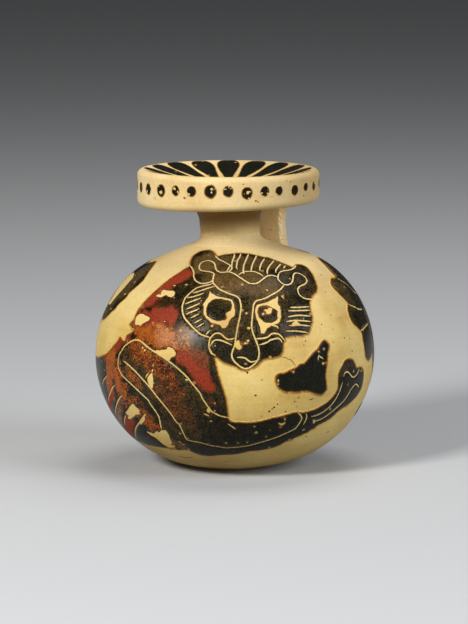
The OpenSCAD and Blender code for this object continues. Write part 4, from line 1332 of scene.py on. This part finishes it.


# Clay slip fired brown-black in the kiln's smoke, with iron-red slip brushed over it: it is semi-gloss
# where it is thick, brown where it is thin, greyish where it is rubbed, and the red is matt and worn to
# orange. The rubbed colour also stands for painted sheen where the strokes lay it. Above flaking, a level
# of noise, it has come off
def slipMaterial(name, flaking=1.0):
    material, tree = newMaterial(name)
    place = addNode(tree, "ShaderNodeTexCoord").outputs["Object"]
    coat = addNode(tree, "ShaderNodeAttribute", {"attribute_name": "coat"}).outputs["Vector"]
    edge = addNode(tree, "ShaderNodeAttribute", {"attribute_name": "edge"}).outputs["Fac"]
    kinds = addNode(tree, "ShaderNodeSeparateXYZ", links={0: coat}).outputs
    cloud = cloudy(tree, place, 420.0, 5.0, 0.62)
    grain = cloudy(tree, place, 1900.0, 3.0, 0.6)
    # Unevenness from about -0.5 to 0.5: clouds some millimetres wide, and grains half a millimetre wide
    clouds = worked(tree, "SUBTRACT", cloud, 0.5)
    grains = worked(tree, "SUBTRACT", grain, 0.5)
    uneven = worked(tree, "MULTIPLY_ADD", grains, 1.3, worked(tree, "MULTIPLY", clouds, 0.7))

    # How far a coat covers: its edge breaks up into grains, but none appear where the coat isn't
    def held(strength, unevenness, low, high):
        broken = worked(tree, "MULTIPLY", uneven, ranged(tree, strength, 0.0, 0.4, 0.0, unevenness))
        return ranged(tree, worked(tree, "ADD", broken, strength), low, high)

    dark = mixed(tree, ranged(tree, uneven, -0.2, 0.25), "#080903", "#1B1B0B")
    # Rubbed slip is brown; where the strokes lay sheen, this brown is painted sheen
    dark = mixed(tree, held(kinds["Z"], 1.3, 0.1, 1.2), dark, "#654F2B")
    red = mixed(tree, ranged(tree, grains, -0.15, 0.15), "#7A2A15", "#983B20")
    body = mixed(tree, held(kinds["X"], 0.45, 0.1, 0.95), dark, red)
    tan = mixed(tree, ranged(tree, uneven, -0.15, 0.15), "#7E3D12", "#AC5A1A")
    orange = mixed(tree, held(kinds["Z"], 0.8, 0.8, 1.7), tan, "#C88A5C")
    body = mixed(tree, held(kinds["Y"], 2.2, 0.38, 0.9), body, orange)
    # Thin edges: the clay's own colour, then ochre, then brown
    shift = worked(tree, "MULTIPLY_ADD", uneven, 0.5, edge)
    thin = ramped(tree, ranged(tree, shift, -0.72, 0.5),
                  [(0, "#DDBB70"), (0.14, "#D2A149"), (0.38, "#B67C2A"), (0.6, "#875620"),
                   (0.85, "#4A3415")])
    body = mixed(tree, ranged(tree, shift, 0.12, 0.55), thin, body)
    # Pinholes down to the clay, and where the slip is worn off
    hole = pitted(tree, place, 420.0, 0.13, 0.08, 0.26)
    body = mixed(tree, worked(tree, "MULTIPLY", hole, 0.8), body, "#B08C52")
    worn = ranged(tree, cloudy(tree, place, 560.0, 3.0), flaking, flaking + 0.03)
    body = mixed(tree, worn, body, "#DDBE79")
    rough = worked(tree, "MULTIPLY_ADD", uneven, 0.25, ranged(tree, kinds["X"], 0.2, 0.8, 0.3, 0.55))
    height = worked(tree, "MULTIPLY_ADD", hole, -1.2, worked(tree, "MULTIPLY_ADD", grain, 0.35, cloud))
    endMaterial(tree, body, rough, height, 0.3, 0.13)
    return material


slipped = slipMaterial("brown-black slip with added red")
rubbed = slipMaterial("brown-black slip rubbed by hands", 0.62)
paintPanther()
paintBird()

# Spatters of slip and dirt in pits and cracks of the bare clay, in pixels: dots with their radius in
# millimetres, and lines with their width
spatters = [(247.5, 372.8, 0.3), (255.5, 395.4, 0.32), (294.8, 401.5, 0.22), (285.4, 411.5, 0.2),
            (298.6, 397.5, 0.2), (305.4, 341, 0.2), (303.8, 345.2, 0.14), (325.7, 292.2, 0.18),
            (344.4, 337.8, 0.22), (349.7, 338.7, 0.2), (333.2, 342, 0.16), (321.6, 324.6, 0.13),
            (339.8, 317.9, 0.14), (333.2, 329.1, 0.12), (352.2, 351.1, 0.2), (110, 343, 0.16),
            (109.2, 347, 0.2), (108.2, 351, 0.16), (107.2, 356, 0.2), (328, 432, 0.3), (306, 436.5, 0.25),
            (346, 300, 0.18), (142, 256, 0.16), (262, 380, 0.16), (269.2, 411.4, 0.32), (272.2, 409, 0.2),
            (274.2, 407.2, 0.3), (277.4, 404.2, 0.22), (182, 236, 0.2)]
cracks = [([(280.2, 355.3), (282.5, 357.6), (285.4, 357.3), (287.6, 359), (290.2, 359.3), (292.8, 362.1),
            (295.7, 365.9)], 0.2),
          ([(169.1, 447.5), (172.3, 451)], 0.25), ([(309.5, 399.7), (313.5, 398.6)], 0.4),
          ([(178, 456), (186, 457.5), (194, 457)], 0.2)]


def markClay():
    marks = [fleck(flat(*fromPixel(x, y)), radius, radius * 0.8, i, 9, 0.6)
             for i, (x, y, radius) in enumerate(spatters)]
    marks += [scratch(fromPhoto(line), width, 400 + i) for i, (line, width) in enumerate(cracks)]
    laySlip("spatters_and_cracks", marks, [], [], [], (0, 0, 0.35), fringe=0.1, more=0.35)


markClay()


# Marks of one brush load, laid side by side on the disc: tongues on the dish and dabs on the edge
tongues = {"count": 17, "first": 180, "middle": 18, "start": 7.5, "sway": 0.8, "sizeSpread": 0.02,
           "widths": [(0, 1.5), (4, 2.3), (6.5, 3.2), (9.5, 4.5), (12.5, 5.9), (15, 7.1), (17.2, 7.8),
                      (19.2, 7.8), (20.8, 6.9), (21.8, 5.2), (22.3, 3)]}
# Each dot that shows: its turn, its height below the rim and its size
dots = {"seen": [(-72, -5.7, 1), (-60, -5.7, 1.05), (-46.5, -5.6, 1.12), (-34.5, -5.2, 0.95),
                 (-23.2, -5.1, 1), (-11, -5, 1.2), (0, -4.9, 1), (11.7, -5.5, 1.18), (23.2, -5, 0.95),
                 (33.2, -5.1, 0.92), (46, -5.4, 1), (57.2, -4.8, 0.78), (68.6, -5, 0.8), (83, -4.6, 0.9)],
        "hidden": 16, "height": -5.3, "wide": 1.68, "high": 1.8}
# Pits and dirt on the disc's edge, in the same way
edgeSpecks = [(17.2, -8.1, 1.1), (18.8, -8.5, 0.7), (-28, -7.4, 0.8), (9.5, -2.2, 0.6), (42, -2.2, 0.7),
              (55, -7.6, 0.7), (-52, -8.4, 0.7), (28, -7, 0.6), (64, -3, 0.6)]


# Flat shape of one brush mark, with a narrower fringe than the figures', so its distances count double
def brushMark(name, loop):
    outer = []
    for i, p in enumerate(loop):
        along = (loop[(i + 1) % len(loop)] - loop[i - 1]).normalized()
        outer.append(p + 0.4 * slip["fringe"] * Vector((along.y, -along.x)))
    middle = sum(loop, Vector((0, 0))) / len(loop)
    inner = [p.lerp(middle, share) for share in (0.25, 0.5, 0.75) for p in loop[::2]] + [middle]
    inner = [p for p in inner if min((p - q).length for q in loop) > 0.25]
    links = [(i, (i + 1) % len(loop)) for i in range(len(loop))]
    links += [(a + len(loop), b + len(loop)) for a, b in links]
    verts, _, faces = geometry.delaunay_2d_cdt(loop + outer + inner, links, [], 0, 1e-5)[:3]
    middles = rows([sum((verts[i] for i in f), Vector((0, 0))) / len(f) for f in faces])
    kept = [f for f, held in zip(faces, windingInside(middles, outer)) if held]
    piece = makeMesh(name, [(v.x, v.y, 0) for v in verts], kept, slipped)
    within = windingInside(rows(verts), loop)
    away = np.array([min((v - q).length for q in loop) for v in verts])
    store(piece.data, "edge", np.where(within, 2 * away, -2 * away))
    return piece


# Sets a brush mark at each place, turns it outwards, lets it fall on the surface and gives it a thickness
def brushTree():
    tree, given = newTree("brushed on the disc", [
        ("Places", "Object"), ("Mark", "Object"), ("Surface", "Object"), ("Tilt", "Float"),
        ("Size Spread", "Float"), ("Turn Spread", "Float"), ("Wobble", "Float"), ("Thickness", "Float"),
        ("Axis", "Vector"), ("Seed", "Int"), ("Slip", "Material")])

    def objectMesh(name):
        return addNode(tree, "GeometryNodeObjectInfo", links={"Object": given[name]}).outputs["Geometry"]

    def attribute(name):
        return addNode(tree, "GeometryNodeInputNamedAttribute", {"data_type": "FLOAT"},
                       {"Name": name}).outputs[0]

    def anyOf(low, high):
        return addNode(tree, "FunctionNodeRandomValue", {"data_type": "FLOAT"},
                       {2: low, 3: high, "Seed": given["Seed"]}).outputs[1]

    places, mark, surface = objectMesh("Places"), objectMesh("Mark"), objectMesh("Surface")
    least = worked(tree, "SUBTRACT", 1.0, given["Size Spread"])
    most = worked(tree, "ADD", 1.0, given["Size Spread"])
    size = worked(tree, "MULTIPLY", attribute("size"), anyOf(least, most))
    back = worked(tree, "MULTIPLY", given["Turn Spread"], -1.0)
    turn = worked(tree, "ADD", attribute("turn"), anyOf(back, given["Turn Spread"]))
    angles = addNode(tree, "ShaderNodeCombineXYZ", links={0: given["Tilt"], 2: turn})
    laid = addNode(tree, "GeometryNodeInstanceOnPoints",
                   links={"Points": places, "Instance": mark, "Rotation": angles.outputs[0], "Scale": size})
    single = addNode(tree, "GeometryNodeRealizeInstances", links={0: laid.outputs[0]})
    place = addNode(tree, "GeometryNodeInputPosition").outputs[0]
    # The brush's edge wavers
    waver = addNode(tree, "ShaderNodeTexNoise", links={"Vector": place, "Scale": 330.0, "Detail": 2.0})
    centred = vectorWorked(tree, "SUBTRACT", waver.outputs["Color"], (0.5, 0.5, 0.5))
    wavy = addNode(tree, "GeometryNodeSetPosition",
                   links={"Geometry": single.outputs[0],
                          "Offset": vectorWorked(tree, "SCALE", centred, given["Wobble"])})
    # Downwards on the dish, inwards on the edge, from 4 mm off the surface to 0.03 mm under it
    level = vectorWorked(tree, "MULTIPLY", vectorWorked(tree, "SUBTRACT", given["Axis"], place), (1, 1, 0))
    inwards = addNode(tree, "ShaderNodeVectorMath", {"operation": "NORMALIZE"}, {0: level})
    towards = addNode(tree, "ShaderNodeMix", {"data_type": "VECTOR"},
                      {0: worked(tree, "GREATER_THAN", given["Tilt"], 0.5), 4: (0, 0, -1),
                       5: inwards.outputs[0]}).outputs[1]
    above = vectorWorked(tree, "ADD", place, vectorWorked(tree, "SCALE", towards, -4 * mm))
    ray = addNode(tree, "GeometryNodeRaycast",
                  links={"Target Geometry": surface, "Source Position": above, "Ray Direction": towards,
                         "Ray Length": 30 * mm}).outputs
    under = vectorWorked(tree, "SCALE", ray["Hit Normal"], -0.03 * mm)
    landed = addNode(tree, "GeometryNodeSetPosition",
                     links={"Geometry": wavy.outputs[0], "Selection": ray["Is Hit"],
                            "Position": vectorWorked(tree, "ADD", ray["Hit Position"], under)})
    raised = addNode(tree, "GeometryNodeExtrudeMesh", {"mode": "FACES"},
                     {"Mesh": landed.outputs[0], "Offset Scale": given["Thickness"], "Individual": False})
    turned = addNode(tree, "GeometryNodeFlipFaces", links={"Mesh": landed.outputs[0]})
    both = addNode(tree, "GeometryNodeJoinGeometry", links={0: raised.outputs["Mesh"]})
    tree.links.new(turned.outputs[0], both.inputs[0])
    endTree(tree, both.outputs[0], 0.001 * mm, given["Slip"], False)
    return tree


brush = brushTree()


# Brushes the same mark at several places, each a turn, a height and a size
def brushOn(name, loop, places, radius, tilt, sizeSpread, turnSpread, wobble, seed, material):
    mark = brushMark(name + " mark", loop)
    line = bpy.data.meshes.new(name + " places")
    turns = [math.radians(place[0]) for place in places]
    spots = [Vector((discAxis + radius * math.sin(turn), -radius * math.cos(turn), rimHeight + height)) * mm
             for turn, (_, height, _) in zip(turns, places)]
    line.from_pydata(spots, [], [])
    store(line, "turn", turns)
    store(line, "size", [place[2] for place in places])
    holder = newObject(name + " places", line)
    piece = makeWithNodes(name, brush, {
        "Places": holder, "Mark": mark, "Surface": discPiece, "Tilt": tilt, "Size Spread": sizeSpread,
        "Turn Spread": math.radians(turnSpread), "Wobble": wobble * mm, "Thickness": 0.07 * mm,
        "Axis": (discAxis * mm, 0.0, 0.0), "Seed": seed, "Slip": material})
    for helper in (mark, holder):
        bpy.data.objects.remove(helper)
    print(name, "has", len(piece.data.polygons), "faces")
    finishPiece(piece, None)


def paintDisc():
    sides = [Vector((width / 2, tongues["middle"] - tongues["start"] - along))
             for along, width in tongues["widths"]]
    left = [Vector((-p.x, p.y)) for p in sides[::-1]]
    places = [(tongues["first"] + 360 * i / tongues["count"], 0, 1) for i in range(tongues["count"])]
    brushOn("tongues_on_dish", flowing((left + sides)[::-1], True, 0.8), places, tongues["middle"], 0.0,
            tongues["sizeSpread"], tongues["sway"], wobble=0.3, seed=4, material=slipped)
    lot = random.Random(3)
    start = dots["seen"][-1][0]
    gap = (360 + dots["seen"][0][0] - start) / (dots["hidden"] + 1)
    places = list(dots["seen"])
    for i in range(dots["hidden"]):
        turn = start + gap * (i + 1) + lot.uniform(-1.4, 1.4)
        height = dots["height"] + lot.uniform(-0.4, 0.4)
        places.append((turn, height, lot.uniform(0.85, 1.15)))
    for name, marks, wide, high, spread in (("dots_on_edge", places, dots["wide"], dots["high"], 0.05),
                                            ("specks_on_edge", edgeSpecks, 0.3, 0.18, 0.3)):
        # A fleck is made for the globe's sheet, so it is brought back to its true width
        loop = [Vector((p.x * sheetScale(50), p.y - 50))
                for p in fleck(Vector((0, 50)), wide, high, 9, 18, 0.16)]
        brushOn(name, loop, marks, disc["radius"] + 1, math.pi / 2, spread, turnSpread=0.5, wobble=0.4,
                seed=8, material=rubbed)


paintDisc()

# Plain pale floor and soft studio light, with the key from the upper left in front
studioSet = {"floor": "#C6C6C5", "floorBounce": "#787670", "airColour": "#E6E8EC", "air": 0.08,
             "lamps": {"key": ((-0.66, -0.84, 0.68), 0.28, 14, "#FFFFFF"),
                       "top": ((0.2, 0.2, 1.1), 0.7, 4.4, "#FFFFFF"),
                       "fill": ((1.0, -0.6, 0.6), 0.7, 10, "#EEF4FF"),
                       "card": ((0.12, -1.25, 0.16), 0.5, 1.6, "#FFFFFF")}}


def studio():
    mesh = bpy.data.meshes.new("floor")
    mesh.from_pydata([(-3, -2, 0), (3, -2, 0), (3, 4, 0), (-3, 4, 0)], [], [(0, 1, 2, 3)])
    floor = newObject("floor", mesh)
    # Pale to the camera, and a duller grey to the flask, so that little light comes back from below
    material = bpy.data.materials.new("matt paper floor")
    material.use_nodes = True
    tree = material.node_tree
    sight = addNode(tree, "ShaderNodeLightPath").outputs
    seen = worked(tree, "MAXIMUM", sight["Is Camera Ray"], sight["Is Glossy Ray"])
    paper = tree.nodes["Principled BSDF"].inputs
    tree.links.new(mixed(tree, seen, studioSet["floorBounce"], studioSet["floor"]), paper["Base Color"])
    paper["Roughness"].default_value = 0.9
    mesh.materials.append(material)
    for name, (where, size, power, colour) in studioSet["lamps"].items():
        data = bpy.data.lights.new(name, "AREA")
        data.size = size
        data.energy = power
        data.color = linear(colour)[:3]
        lamp = newObject(name, data)
        lamp.location = where
        lamp.rotation_euler = (Vector((0, 0, 0.05)) - Vector(where)).to_track_quat("-Z", "Y").to_euler()
    world = bpy.data.worlds.new("studio")
    world.use_nodes = True
    air = world.node_tree.nodes["Background"].inputs
    air["Color"].default_value = linear(studioSet["airColour"])
    air["Strength"].default_value = studioSet["air"]
    bpy.context.scene.world = world
    bpy.context.scene.view_settings.view_transform = "Standard"
    print("studio lit")


studio()
